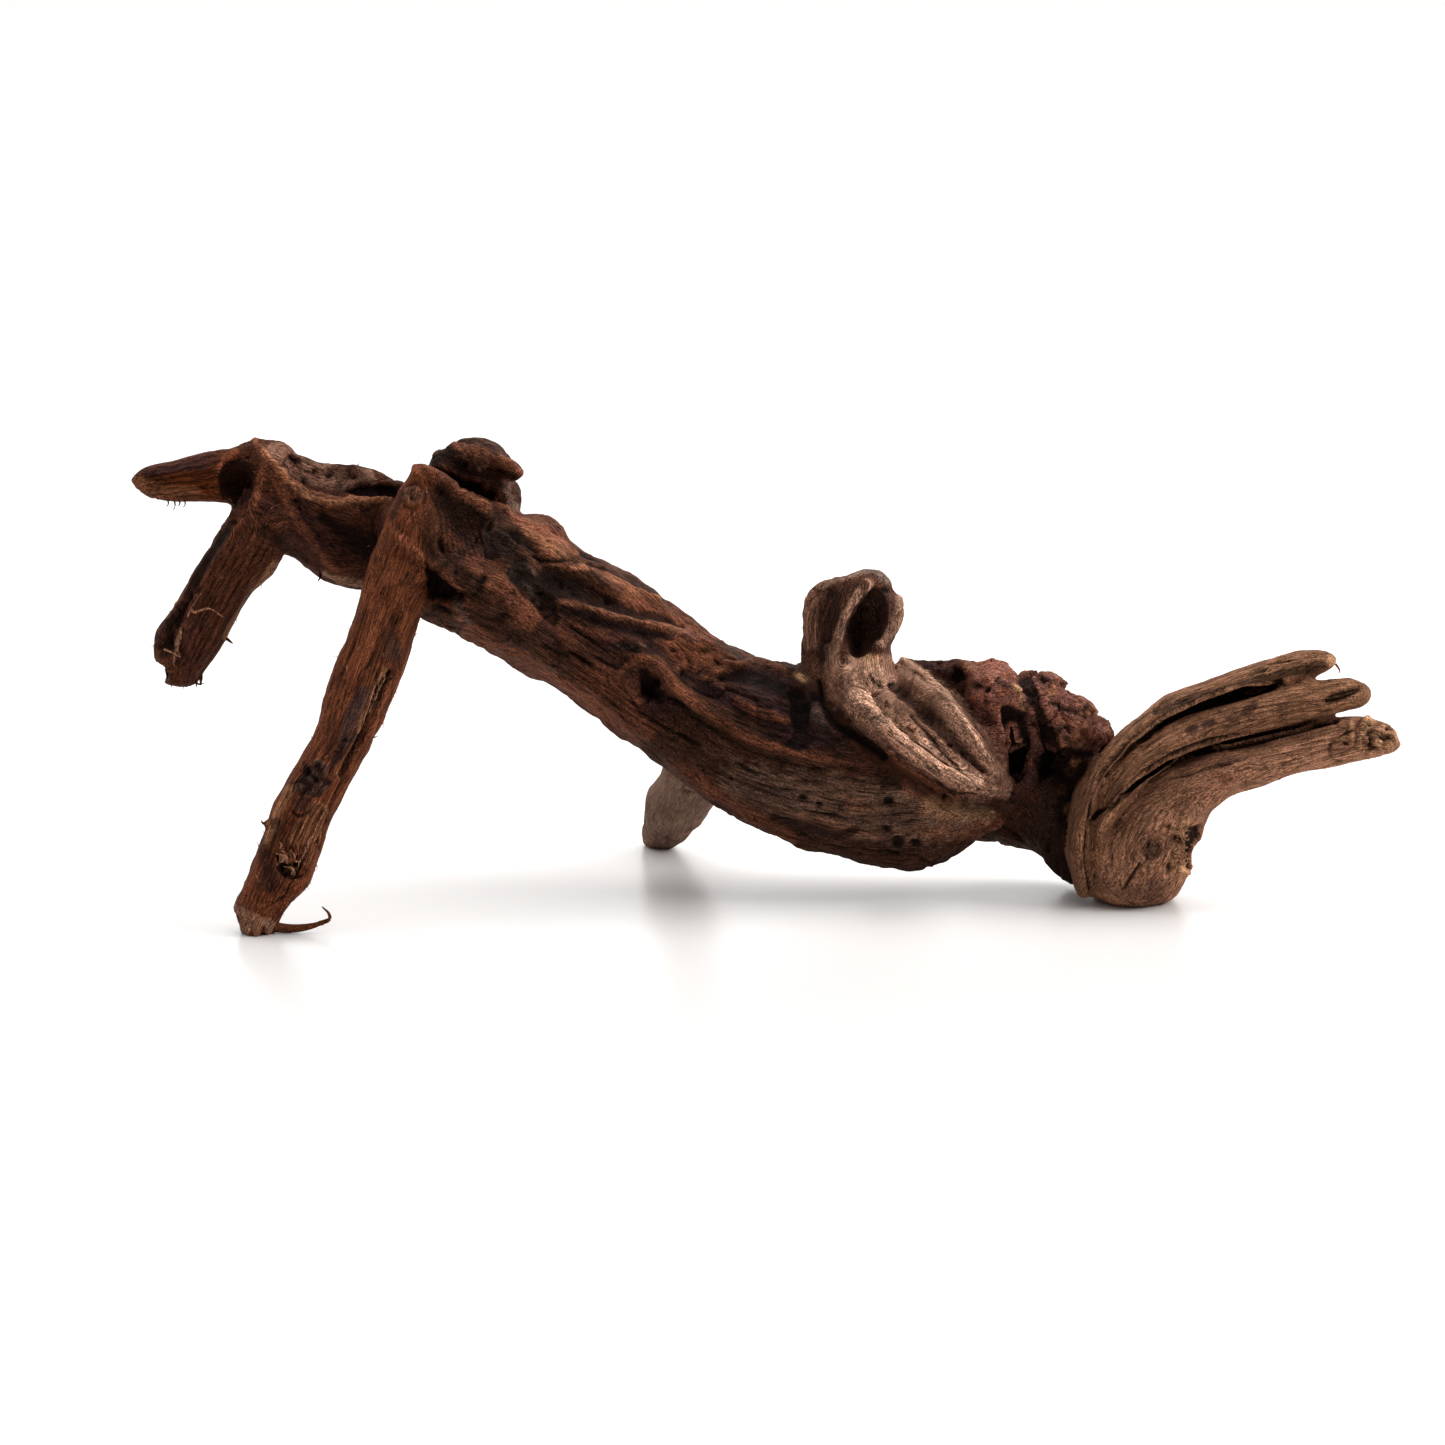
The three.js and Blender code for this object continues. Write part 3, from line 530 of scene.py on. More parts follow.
def carve_stem(c):
    """The ridges and resin along the upper half of the trunk."""
    trunk = c.on("trunk")
    resin = [[-77, 97], [-74, 101.6], [-70.9, 102], [-68.9, 97.4], [-64.4, 93.4], [-63, 88], [-60.6, 83],
             [-62.6, 80.6], [-65.4, 82], [-68.7, 87], [-73.7, 91.6]]
    trunk.patch(resin, -0.7, 1.2, dark=0.85)
    trunk.scatter(((-74, 80), (-61, 101)), resin, 26, (1.0, 2.2), 0.8, seed=5, dark=0.9)
    # Grey strokes on the resin are its painted sheen.
    trunk.stroke([[-75, 98, 0.8], [-71, 93, 1.2], [-67.4, 87.6, 0.8]], 0.5, grey=0.42)
    trunk.stroke([[-71.6, 100.4, 0.8], [-69, 96.6, 1]], 0.3, grey=0.35)
    # The hollow is painted dark as its shade.
    hollow = [[-66, 96, 2.4], [-59, 93.4, 3.4], [-51, 90, 2.4], [-42, 86.4, 1.6], [-33, 84.6, 1.1],
              [-23.6, 81.6, 0.8]]
    trunk.stroke(hollow, -1.2, 1.2, dark=0.8, purple=0.6)
    well = [[-66.5, 99.4], [-62, 99], [-57.6, 96.4], [-53, 95], [-54, 91], [-59, 90], [-63, 89.4],
            [-66, 93.6]]
    trunk.patch(well, -0.3, 1.4, dark=0.85)
    above = [[-58, 98.6, 0.8], [-52, 98.4, 1.5], [-45, 95.5, 1.8], [-39, 92.6, 1.7], [-32, 89.6, 1.3]]
    trunk.stroke(above, 0.5, warm=0.9, tan=0.08)
    trunk.stroke([[-53, 99.6, 0.5], [-46, 97.6, 0.7], [-39, 94, 0.6], [-33, 91, 0.5]], -0.8, dark=0.8)
    # The cracks are painted black as their shade.
    cracks = ([[-75.6, 110, 0.5], [-73.4, 107.6, 0.9], [-69.4, 104.8, 0.9], [-67.4, 103.4, 0.6]],
              [[-68.4, 102.6, 0.7], [-65.4, 100.8, 0.9], [-61.4, 100.6, 0.7], [-57.3, 101, 0.6],
               [-53, 99, 0.4]])
    for crack in cracks:
        trunk.stroke(crack, -1.1, dark=1)
    trunk.stroke([[-72, 110, 1.4], [-65, 105.4, 1.6], [-56, 103.2, 1.2]], 0.6, warm=0.7, tan=0.1)
    trunk.stroke([[-74, 114, 2.4], [-68, 109.5, 3.2], [-61, 104.8, 2.4]], 0.3, warm=0.75)
    trunk.stroke([[-66, 105, 1.2], [-55, 99.6, 1.4], [-46, 95.2, 0.9]], 0, warm=0.6, tan=0.12)
    trunk.stroke([[-54, 103.4, 1.2], [-45, 98.6, 1.3], [-34, 92.6, 1.2], [-30, 89.4, 1]], -0.5, dark=0.75)
    light = [[-60.3, 88.4, 0.8], [-52, 86.6, 1], [-44.9, 84, 1], [-35.4, 82, 1], [-22.9, 79.2, 1.1]]
    trunk.stroke(light, 0.4, warm=0.6, pale=0.1)
    trunk.stroke([[-60, 86, 1.5], [-50, 82.8, 2.2], [-40, 80, 1.8], [-28, 77.6, 1.2]], -0.5, dark=0.7,
                 purple=0.8)
    stain = [[-49, 78], [-44, 80.4], [-38, 78.4], [-31, 77.6], [-27, 73], [-31, 71.4], [-37, 73.6],
             [-43, 72.6]]
    trunk.patch(stain, -0.2, purple=0.85, dark=0.3)
    trunk.patch([[-60, 84], [-52, 80], [-44, 76], [-46, 72], [-54, 76], [-61, 80]], 0, purple=0.6, dark=0.2)
    trunk.stroke([[-58, 82, 1], [-48, 77.8, 1.3], [-37, 75.8, 1.2]], 0.5, warm=0.3)
    trunk.stroke([[-40, 90, 3], [-28, 84, 4], [-16, 78, 4]], 0, warm=0.5)
    trunk.fan([[-62, 92, 0.5], [-50, 87.5, 0.5], [-36, 84, 0.5]],
              [[-58, 76, 0.5], [-45, 69, 0.5], [-32, 66, 0.5]], 7, -0.35, dark=0.35)
    trunk.spot(-40, 74.8, 5, 2, -0.8, -10, dark=0.9, purple=1)
    for i in range(7):
        trunk.spot(-43.5 + 1.3 * i, 74.8 + 0.9 * math.sin(5.3 * i), 0.7, 0.6, 0.7, grey=0.4)
    trunk.stroke([[-88, 79, 3], [-70, 68, 4], [-52, 57, 4], [-36, 48.5, 3.5]], 0, warm=0.45)


def carve_middle(c):
    """The knot hole under its arched ridge, the orange nodules, the dark band and the upright pit. The hole,
    the pit and the band are painted dark as shade, and the ridge and nodules have painted shadows under them.
    """
    trunk = c.on("trunk")
    # The knot hole is painted dark as its shade.
    hole = [[-37.4, 67.8], [-35, 68.4], [-33.6, 65], [-31.6, 64.4], [-29.4, 60.6], [-30.6, 57.2],
            [-35, 56.8], [-37.8, 59.4], [-36.6, 63]]
    trunk.patch(hole, -0.6, 1.2, dark=0.8, purple=0.6)
    for x, z in ((-31.6, 62), (-35.8, 58.8), (-33, 57.4)):
        trunk.spot(x, z, 1.6, 1.4, 1.6, 30, purple=1)
    trunk.spot(-31.5, 57.6, 7.5, 4.4, 0, -10, 1, purple=0.9, dark=0.3)
    arch = [[-43, 67, 0.9], [-38, 71, 1.3], [-32.5, 70.8, 1.5], [-28.8, 66.8, 1.6], [-25.8, 61.2, 1.6],
            [-20, 56.6, 1.6], [-11.1, 50.6, 1.6], [-0.9, 45.2, 1.5], [12, 41.5, 1.2], [20, 40, 1]]
    trunk.stroke(arch, 0.8, warm=0.4)
    # The painted shadow under the arched ridge.
    trunk.stroke([[x - 1.4, z - 3.1, 0.9] for x, z, _ in arch[4:]], -0.5, dark=0.5)
    nodules = ((-28.5, 75, 2.6, 10), (-24, 72, 2.2, -60), (-19.5, 75, 2.6, -20), (-21, 68.6, 1.8, 40),
               (-15.5, 71.6, 2.6, -45), (-14, 67, 1.6, 0), (-26, 68.4, 1.5, 70), (-17.6, 65.4, 1.3, 20),
               (-10.6, 70, 1.8, -30))
    for x, z, size, turn in nodules:
        trunk.spot(x, z, size, 0.6 * size, 0.7, turn, 1, warm=0.45)
        # The painted shadow beside each nodule.
        trunk.spot(x + 1.4, z - 1.6, 1.4, 0.5, -0.6, turn, dark=0.6)
    trunk.stroke([[-30, 76, 3], [-22, 72, 4], [-14, 69, 3]], 0, warm=0.5)
    trunk.stroke([[-24, 66, 1.4], [-15.6, 60.8, 2.2], [-6, 55, 1.6]], -0.5, dark=0.6, purple=0.9)
    shade = [[-13, 66], [-6, 69], [4, 67.6], [10, 64.6], [17, 61], [20, 53], [25, 46], [17, 42.6], [8, 43.6],
             [1, 50], [-5, 55.6], [-11, 60.6]]
    trunk.patch(shade, 0, 1.6, purple=0.85, dark=0.35)
    trunk.stroke([[-12.5, 65.5, 1.6], [-4.5, 66, 2.4], [2.8, 63.2, 2.6], [9, 61, 2]], -0.9, 1.4, dark=0.85)
    trunk.stroke([[-9, 69.5, 1], [-2, 70.6, 1.2], [6, 67.4, 1.2]], 0.9, warm=0.35)
    # The upright pit is painted dark as its shade.
    pit = [[8, 63.4], [11.4, 62], [13.2, 57], [12.4, 50], [15.4, 45.6], [11, 42.4], [6, 44.2], [9, 49],
           [8.6, 56]]
    trunk.patch(pit, -1.2, 1.4, dark=0.85)
    trunk.fan([[-11, 62, 0.5], [-4, 58.5, 0.6], [7, 57, 0.5]],
              [[-8, 52, 0.5], [0, 48.5, 0.6], [8, 46.5, 0.5]], 6, -0.5, dark=0.5)
    trunk.stroke([[-8, 58, 1.5], [0, 54, 2], [7, 52, 1.6]], 0.5, warm=0.55)
    trunk.spot(11, 65.6, 2, 1.1, 0.6, -40, tan=1)
    trunk.spot(16.5, 54.5, 3.4, 4.6, 0.9, 15, grey=0.22)
    trunk.spot(14.5, 60, 2.2, 2, -0.8, dark=0.9)
    trunk.fan([[-66, 75, 0.5], [-48, 63, 0.5], [-30, 52, 0.5]],
              [[-62, 66, 0.4], [-44, 54, 0.5], [-26, 43, 0.4]], 4, -0.4, dark=0.45)
    for x, z, high in ((-55, 71, 0.8), (-47, 69.5, 0.7), (-62, 73, 0.9), (-22, 46, 0.9), (-5, 37, 1),
                       (-26, 57, 0.7)):
        trunk.stroke([[x - 3.4, z + 2.2, 0.4], [x, z, high], [x + 3.2, z - 1.6, 0.4]], -0.8, dark=0.9)


def carve_belly(c):
    """The smooth belly under the curl, with its wavy grain, its cluster of holes painted dark as their shade,
    and the painted shadow of the spoon's lip.
    """
    trunk = c.on("trunk")
    trunk.stroke([[-8, 33, 7], [20, 27, 10], [44, 22, 10], [60, 22, 6]], 0, pale=0.1)
    top = [[-24, 45, 0.5], [-6, 37, 0.6], [10, 36.5, 0.6], [24, 38, 0.6], [36, 33, 0.5]]
    low = [[-14, 31, 0.5], [4, 21, 0.6], [20, 13.5, 0.6], [36, 10.5, 0.6], [52, 16, 0.5]]
    trunk.fan(top, low, 8, -0.4, dark=0.38)
    # The painted shadow of the spoon's lip on the belly.
    trunk.stroke([[16, 48, 3.6], [24, 43.5, 3.6], [32, 38.5, 3], [40, 33, 2.6]], -0.3, dark=0.6)
    holes = ((37.7, 27.1, 1.9, 1.5), (37.1, 18.1, 2, 1.1), (40.4, 14, 2.4, 1.9), (46, 13.6, 2.1, 1.1),
             (39.3, 10.6, 2.8, 1), (11.6, 28.3, 1.7, 1.1), (16.5, 26, 1.1, 0.7), (54.5, 28, 0.9, 0.8))
    # The holes are painted dark as their shade.
    for x, z, across, high in holes:
        trunk.spot(x, z, across, high, -1.5, -15, dark=0.95)
    trunk.rings(41, 14, (4.6, 6.4), -0.35, 0.8, dark=0.35)
    trunk.stroke([[3, 22.5, 1.2], [12, 19, 1.8], [22, 16.8, 1.8], [28, 19, 1.2]], -0.4, dark=0.6, purple=0.6)
    # More of the lip's painted shadow.
    trunk.spot(28.3, 36.6, 4.6, 1.6, -0.5, -5, dark=0.6)
    trunk.stroke([[-20, 33, 2], [-6, 24.5, 2.2], [8, 15.5, 2.2]], 0, warm=0.35)
    trunk.stroke([[50, 26, 3], [60, 23, 3], [68, 23, 2.4]], 0.3, tan=0.28)


def carve_spoon(c):
    """The weathered spoon below the curl: a lip, a pale channel, a swirl, and the ridge beside them. The
    shade under the lip, in the cleft and hollows, and among the lumps is painted.
    """
    trunk = c.on("trunk")
    both = c.on("trunk curl")
    whole = [[17.5, 70], [17.6, 64], [21, 56.6], [27, 51], [34, 46.4], [41, 40.6], [48, 35.2], [56, 31],
             [64, 28.4], [73, 28], [74.5, 33], [71, 41], [66.5, 49], [61, 57], [55, 63.4], [48, 68],
             [41, 71.6], [30, 72.6]]
    both.patch(whole, 0, 2.6, pale=0.3, warm=0.3)
    upper = [[18.6, 74, 1.8], [19.4, 66, 2], [22.5, 59, 2.1], [28, 53.6, 2.1], [35, 49, 2]]
    lower = [[35, 49, 2], [42, 43, 1.8], [49, 37.4, 1.8], [57, 33, 1.8], [65, 30.2, 1.8], [72.4, 29.6, 1.8]]
    both.stroke(upper, 1.1, 1.4, pale=0.3)
    both.stroke(lower, 0.7, 1.4, pale=0.4)
    both.stroke([[x + 1, z + 1.2, 0.7] for x, z, _ in lower], 0.3, pale=0.6)
    # Under each lip a purple band, and above it a dark line, painted as shade.
    for line in (upper, lower):
        both.stroke([[x - 1.1, z - 1.3, 1] for x, z, _ in line], -0.2, 1, purple=0.5)
        both.stroke([[x + 0.3, z + 0.9, 0.5] for x, z, _ in line], -0.3, 1, dark=0.3)
    # The lip's painted shadow on the belly below it.
    both.stroke([[15.8, 64, 1], [19.6, 53.4, 1.5], [25, 48.4, 1.6], [31.4, 44.8, 1.5], [36, 40.6, 1.2]],
                -1.5, 1.2, dark=0.9)
    both.stroke([[36, 40.6, 1], [43, 35, 1], [50, 30.6, 0.9], [57, 27.4, 0.7]], -0.5, dark=0.4)
    trunk.stroke([[38, 40, 3], [46, 33, 5], [56, 25, 5]], 0, warm=0.35)
    channel = [[25, 68, 1.8], [26.6, 62, 2.6], [31.6, 57, 3.3], [39, 50.8, 3.7], [47, 44.6, 3.6],
               [55, 38.4, 3.2], [63, 33.6, 2.6]]
    both.stroke(channel, 2.8, 1.2, pale=1)
    for shift in (-2.6, -1.2, 0.2, 1.5):
        both.stroke([[x + 0.7 * shift, z + 0.7 * shift, 0.4] for x, z, _ in channel], -0.35, dark=0.4)
    both.stroke([[23.6, 66, 1.8], [25.6, 61, 2], [30, 56, 1.8]], 0, pale=0.9)
    both.stroke([[27, 70, 2.6], [33, 68, 3], [38, 64, 2.4]], -0.4, pale=0.7)
    swirl = ((26.4, 68.4), (25, 64.4), (27.4, 60.6), (31.6, 60), (34.4, 63), (33, 66.4), (30.2, 65.6),
             (30.4, 63))
    both.stroke([[x, z, 0.5] for x, z in swirl], -0.4, dark=0.55)
    both.stroke([[29.4, 67, 3], [33, 63, 3.4], [37, 59, 3]], 1.6, 1.0, pale=0.6)
    both.stroke([[31.4, 65.6, 0.8], [33, 63.6, 1.1], [35, 62.2, 0.7]], -0.9, dark=0.85)
    trunk.stroke([[44, 53.5, 0.5], [48.2, 48.8, 0.7], [53, 43.3, 0.6], [57.9, 38.6, 0.5]], -0.9, dark=0.9)
    shadow = [[36.5, 64.6, 1.4], [42.6, 60.4, 2], [49.4, 53.8, 2.4], [56, 46.6, 2.3], [61.6, 41, 1.8],
              [66, 36.6, 1.1]]
    trunk.stroke(shadow, -1.2, dark=0.62, purple=0.5)
    slope = [[40, 68, 1.6], [46, 64.4, 2.2], [52.4, 58, 2.8], [58.6, 50.6, 3], [64.4, 43.4, 3],
             [69.4, 36.6, 2.4]]
    trunk.stroke(slope, 0.9, 1.4, pale=0.45)
    # The crown is painted pale, partly as the ridge's own pale wood and partly as a highlight along its top.
    crown = [[40.6, 71, 1.1], [46.6, 67.4, 1.3], [52.4, 62, 1.3], [57.4, 55.4, 1.3], [62, 48.4, 1.2],
             [66, 42, 0.9]]
    trunk.stroke(crown, 0.9, pale=1)
    trunk.fan([[45, 66.6, 0.5], [54, 58, 0.5], [62, 47, 0.5], [67, 39, 0.5]],
              [[54, 66, 0.5], [61, 57.4, 0.5], [67, 48, 0.5], [71, 40, 0.5]], 5, -0.3, dark=0.42)
    trunk.patch([[45, 70], [49, 73], [55, 73.6], [58.4, 70.6], [58, 66.4], [54, 66]], 0.4, purple=0.9)
    # A small hollow painted black as its shade.
    trunk.patch([[56.4, 68.6], [58.8, 68.4], [59.8, 64.6], [57.8, 62.8], [55.6, 64.6]], -1.4, dark=1)
    trunk.spot(61.4, 68.4, 1.9, 2.5, 1.0, 20, grey=0.6, warm=0.7)
    lumps = ((69, 70, 2.4, 0.5), (63, 63, 1.7, -0.8), (66, 65.4, 1.3, 0.9), (62.7, 58.6, 1.5, 0.6),
             (66.4, 61.6, 1.5, -1.2), (69.6, 56, 1.5, 0.6), (66.5, 57.4, 1.2, -0.6), (71.4, 61, 1.8, 0.8),
             (70, 65, 1.4, -0.9), (73, 66.6, 1.5, 0.7))
    # The dips among the lumps are painted dark as their shade.
    for x, z, size, height in lumps:
        trunk.spot(x, z, size, 0.8 * size, height, 20, warm=0.6 * (height > 0), dark=0.75 * (height < 0))
    # The cleft is painted black as its shade.
    cleft = [[70.9, 56], [74, 57], [78.5, 54.5], [79.8, 49], [79.6, 42], [78.2, 35.6], [76, 32.8],
             [74.6, 36.4], [73, 43.6], [71.6, 50]]
    trunk.patch(cleft, -2.2, 0.6, dark=1)
    wall = [[71, 64, 1.1], [75.6, 61, 1.2], [79, 56, 1.2], [81, 49, 1.2], [81.2, 41, 1.3], [79.4, 34, 1.3],
            [75, 28.6, 1.2]]
    trunk.stroke(wall, 1.1, purple=0.6, dark=0.15)
    trunk.spot(79.6, 39.5, 1.1, 1.3, 0.4, warm=0.7)
    trunk.stroke([[74.6, 62.4, 0.7], [76.8, 58.6, 0.9], [78, 55.4, 0.7]], 0.4, tan=0.9, warm=0.6)


def carve_burl(c):
    """The angular burl before the foot, with bright chips where it has flaked, its crevices and the neck
    under it painted dark as their shade.
    """
    trunk = c.on("trunk")
    trunk.stroke([[82, 63, 3.6], [88, 60.6, 4], [95, 56, 3.2]], 1.2)
    trunk.stroke([[85, 52, 3.5], [91, 49.5, 3.5], [97, 47.6, 3]], 1.0)
    # A crevice between the lumps, painted dark as its shade.
    trunk.stroke([[86, 57.6, 0.8], [91, 55.6, 1], [96.6, 53.4, 0.9]], -1.0, dark=0.7)
    trunk.stroke([[88, 53, 1.6], [93.6, 50, 2], [97.6, 47, 1.8]], 0, warm=0.5)
    chips = ((93.4, 46.4, 2.2), (90.6, 43.8, 1.6), (96.8, 50.4, 1.3), (93.4, 39.6, 1.8), (91.3, 25.4, 1.8),
             (79.6, 62.4, 1.2), (86, 61, 1.4), (97.6, 55, 1.3))
    for x, z, size in chips:
        trunk.spot(x, z, size, 1.2 * size, 0.4, -30, tan=0.15, warm=0.9)
    # The burl's dips and crevices are painted dark as their shade.
    trunk.scatter(((80, 42), (101, 66)), None, 46, (1.0, 2.6), 0.9, seed=6, dark=0.6)
    trunk.stroke([[87.6, 43.4, 1.8], [93, 41.4, 2], [98, 42, 1.4]], -0.7, dark=0.85)
    shadow = [[75.4, 64.6], [79.6, 66], [81.6, 62], [83.6, 56], [86, 50], [88, 44], [86, 36], [82.6, 33],
              [83.4, 42], [82.6, 49], [80.4, 56]]
    trunk.patch(shadow, -1.2, dark=0.95)
    # The neck under the burl is painted dark as its shade.
    trunk.stroke([[86, 38, 3], [90, 32, 4], [92, 20, 4], [96, 8, 3]], -0.4, dark=0.7)
    trunk.spot(93, 30, 2, 3, -0.5, -30, dark=0.9)
    trunk.spot(89, 31, 2, 2.4, 0.3, -30, warm=0.4)


def carve_curl(c):
    """The curl: its hollow, painted black and purple as its shade, the twisting inner rim and the concave
    face beside it.
    """
    curl = c.on("curl")
    curl.stroke([[13, 91, 2.2], [12.6, 83, 2.4], [13, 75, 2]], 0.4, pale=0.2, warm=0.3)
    curl.stroke([[16, 94, 1.6], [22, 96, 1.8], [28, 97, 1.6]], 0, pale=0.2)
    curl.stroke([[20.5, 91, 2.6], [19.6, 86, 3.2], [17.8, 79, 2.8], [16.6, 71, 2.2]], -1.6, dark=0.5,
                purple=0.6)
    rim = [[30.6, 93.4, 1.5], [27, 89.4, 1.4], [24, 84, 1.3], [21.8, 78, 1.3], [21, 72, 1.7],
           [21.6, 67, 1.8]]
    curl.stroke(rim, 1.5, 1.3, pale=0.15)
    curl.stroke([[31.8, 93.6, 0.8], [28.6, 89, 0.7], [25.6, 83.4, 0.7], [23.4, 77, 0.7]], 0.3, pale=0.4)
    curl.stroke([[33, 91, 2.6], [32.4, 86, 3.6], [30.4, 80, 3.2], [28.6, 74, 1.8]], -1.0, 1.5)
    # The hollow is painted purple and dark as its shade.
    hollow = [[24.5, 81], [25.8, 84.7], [31.1, 90.1], [34.6, 91.9], [38, 90], [38.8, 85.6], [37.6, 81],
              [35, 76.8], [32, 74.4], [28, 70.6], [26, 74]]
    curl.patch(hollow, 0, 1.4, purple=0.55, grey=0.12)
    curl.stroke([[28.6, 86, 2], [27.4, 80, 2.6], [27.8, 74, 1.8]], -0.5, 1.2, dark=0.5)
    curl.stroke([[27, 97, 1.6], [33, 98, 1.8], [37, 94.2, 1.6]], 0.5, grey=0.75, dark=0.2)
    curl.spot(36.4, 92, 1.6, 1.2, -1.0, dark=0.7)
    curl.stroke([[40, 89, 1.6], [40.5, 84, 1.8], [38, 79.5, 1.6], [35, 75.5, 1.6]], 0.8, pale=0.25)
    curl.spot(33.4, 74.6, 2, 1.7, 0.9, dark=0.35)
    curl.spot(32, 71, 3, 2, 0.3, tan=0.5)
    curl.fan([[12, 92, 0.4], [11.8, 82, 0.5], [12, 72, 0.4]], [[24, 93, 0.4], [21, 85, 0.5], [18, 76, 0.4]],
             6, -0.3, dark=0.3)


def carve_front_leg(c):
    """The front leg: fine straight grain, a torn split, purple patches, a rough scab and a frayed knot. The
    split and the slot by the knot are painted black as their shade, and the scab's grey flecks are its
    painted glints.
    """
    leg = c.on("front_leg")
    left = [[-107, 92, 0.4], [-119, 68, 0.45], [-131, 44, 0.45], [-146, 20, 0.45], [-157, -4, 0.4]]
    right = [[-98, 96, 0.4], [-108, 70, 0.45], [-118, 46, 0.45], [-130, 22, 0.45], [-143, -4, 0.4]]
    leg.fan(left, right, 12, -0.42, dark=0.42)
    slit = [[-111.5, 67, 0.5], [-113.6, 63.3, 1], [-115.6, 59.2, 1.1], [-118, 53.4, 0.8], [-120, 48.5, 0.7],
            [-127, 35, 0.5]]
    # The split is painted black as its shade.
    leg.stroke([[x, z, 1.35 * width] for x, z, width in slit], -2.0, 1.5, dark=1)
    leg.stroke([[x + 2.1, z - 0.4, 0.8] for x, z, _ in slit[:5]], 0.8, warm=0.9)
    leg.stroke([[x - 2, z + 0.6, 0.8] for x, z, _ in slit[:5]], 0.6, warm=0.9, tan=0.2)
    leg.stroke([[-120, 48, 0.6], [-126, 35, 0.8], [-131, 22, 0.6], [-134, 12, 0.5]], -0.8, 1, dark=0.8)
    upper = [[-114, 80.5], [-110.6, 79.4], [-108.4, 76], [-108.8, 71.4], [-110.6, 69], [-112.4, 70.6],
             [-113.4, 74.6]]
    leg.patch(upper, -0.2, 1.6, purple=0.75, grey=0.1)
    lower = [[-117.4, 62.6], [-116.4, 58], [-120, 51.4], [-122, 46.6], [-125, 43], [-128.4, 43.6],
             [-127, 50], [-124.6, 57], [-121.4, 62.4]]
    leg.patch(lower, 0.3, 1.4, purple=0.8, grey=0.12)
    leg.spot(-125.7, 46, 1.1, 1, -0.9, dark=1)
    leg.stroke([[-126.5, 44, 1.3], [-128.6, 40.2, 1.5], [-130.5, 37, 1.1]], -0.4, purple=1, dark=0.6)
    scab = [[-138.6, 39.6], [-136.4, 38], [-134, 40], [-130.4, 37.4], [-131.4, 35], [-129.6, 33],
            [-132.4, 30], [-133.4, 28], [-137, 29.4], [-140.6, 28.6], [-140, 31.6], [-142, 32.6],
            [-138.6, 35.6]]
    leg.patch(scab, 0.4, dark=0.62, purple=1)
    # The scab's grey flecks are painted glints, its dips painted dark as shade.
    leg.scatter(((-141, 28.6), (-130, 39.6)), scab, 40, (0.9, 1.9), 1.3, seed=3, grey=0.45, dark=0.7)
    leg.patch([[-142, 28.6], [-136, 28.4], [-135.4, 25], [-139, 24], [-142.6, 25.6]], 0, purple=0.8)
    leg.stroke([[-143, 31, 1.4], [-146, 25, 1.6], [-150, 15, 1.6]], 0, tan=0.3, warm=0.4)
    leg.stroke([[-152, 16, 1.5], [-150, 8, 2], [-149, 0, 2]], -0.3, dark=0.45, purple=0.5)
    leg.stroke([[-142.5, 24.5, 0.5], [-140, 22.6, 0.6], [-136.5, 24, 0.5]], -0.7, dark=0.9)
    leg.spot(-147.1, 20.4, 1.9, 2.4, -0.4, 0, dark=0.7)
    leg.stroke([[-147.5, 17.5, 1], [-148.8, 13.8, 1.2], [-150, 10, 0.8]], -0.3, dark=0.7)
    leg.fan([[-135, 27, 0.5], [-141, 19, 0.6], [-144, 11, 0.5]],
            [[-130, 24, 0.5], [-134, 15, 0.6], [-137.5, 7, 0.5]], 6, 0.5, tan=0.15, warm=0.5)
    leg.spot(-143.1, 8.9, 3.8, 4.4, -0.6, 0, 2, dark=0.75)
    for i in range(11):
        turn, away = 2.2 * i, 0.4 + 0.24 * i
        x, z = -143.1 + away * math.cos(turn), 8.9 + away * math.sin(turn)
        leg.spot(x, z, 0.6, 1.5, 1.3, 33 * i, tan=0.75)
    # The slot beside the knot is painted black as its shade.
    leg.stroke([[-147, 10.5, 0.7], [-146.4, 7, 0.9], [-143, 4.4, 0.9], [-139.5, 4, 0.6]], -1.3, dark=1)
    leg.spot(-150.3, 20.4, 1.4, 1.2, 1.0, 0, dark=0.3)
    sole = [[-161, -4], [-156, -6.6], [-151, -9], [-146, -10.6], [-147, -15], [-159, -15]]
    leg.patch(sole, -0.3, 0.6, pale=0.22)


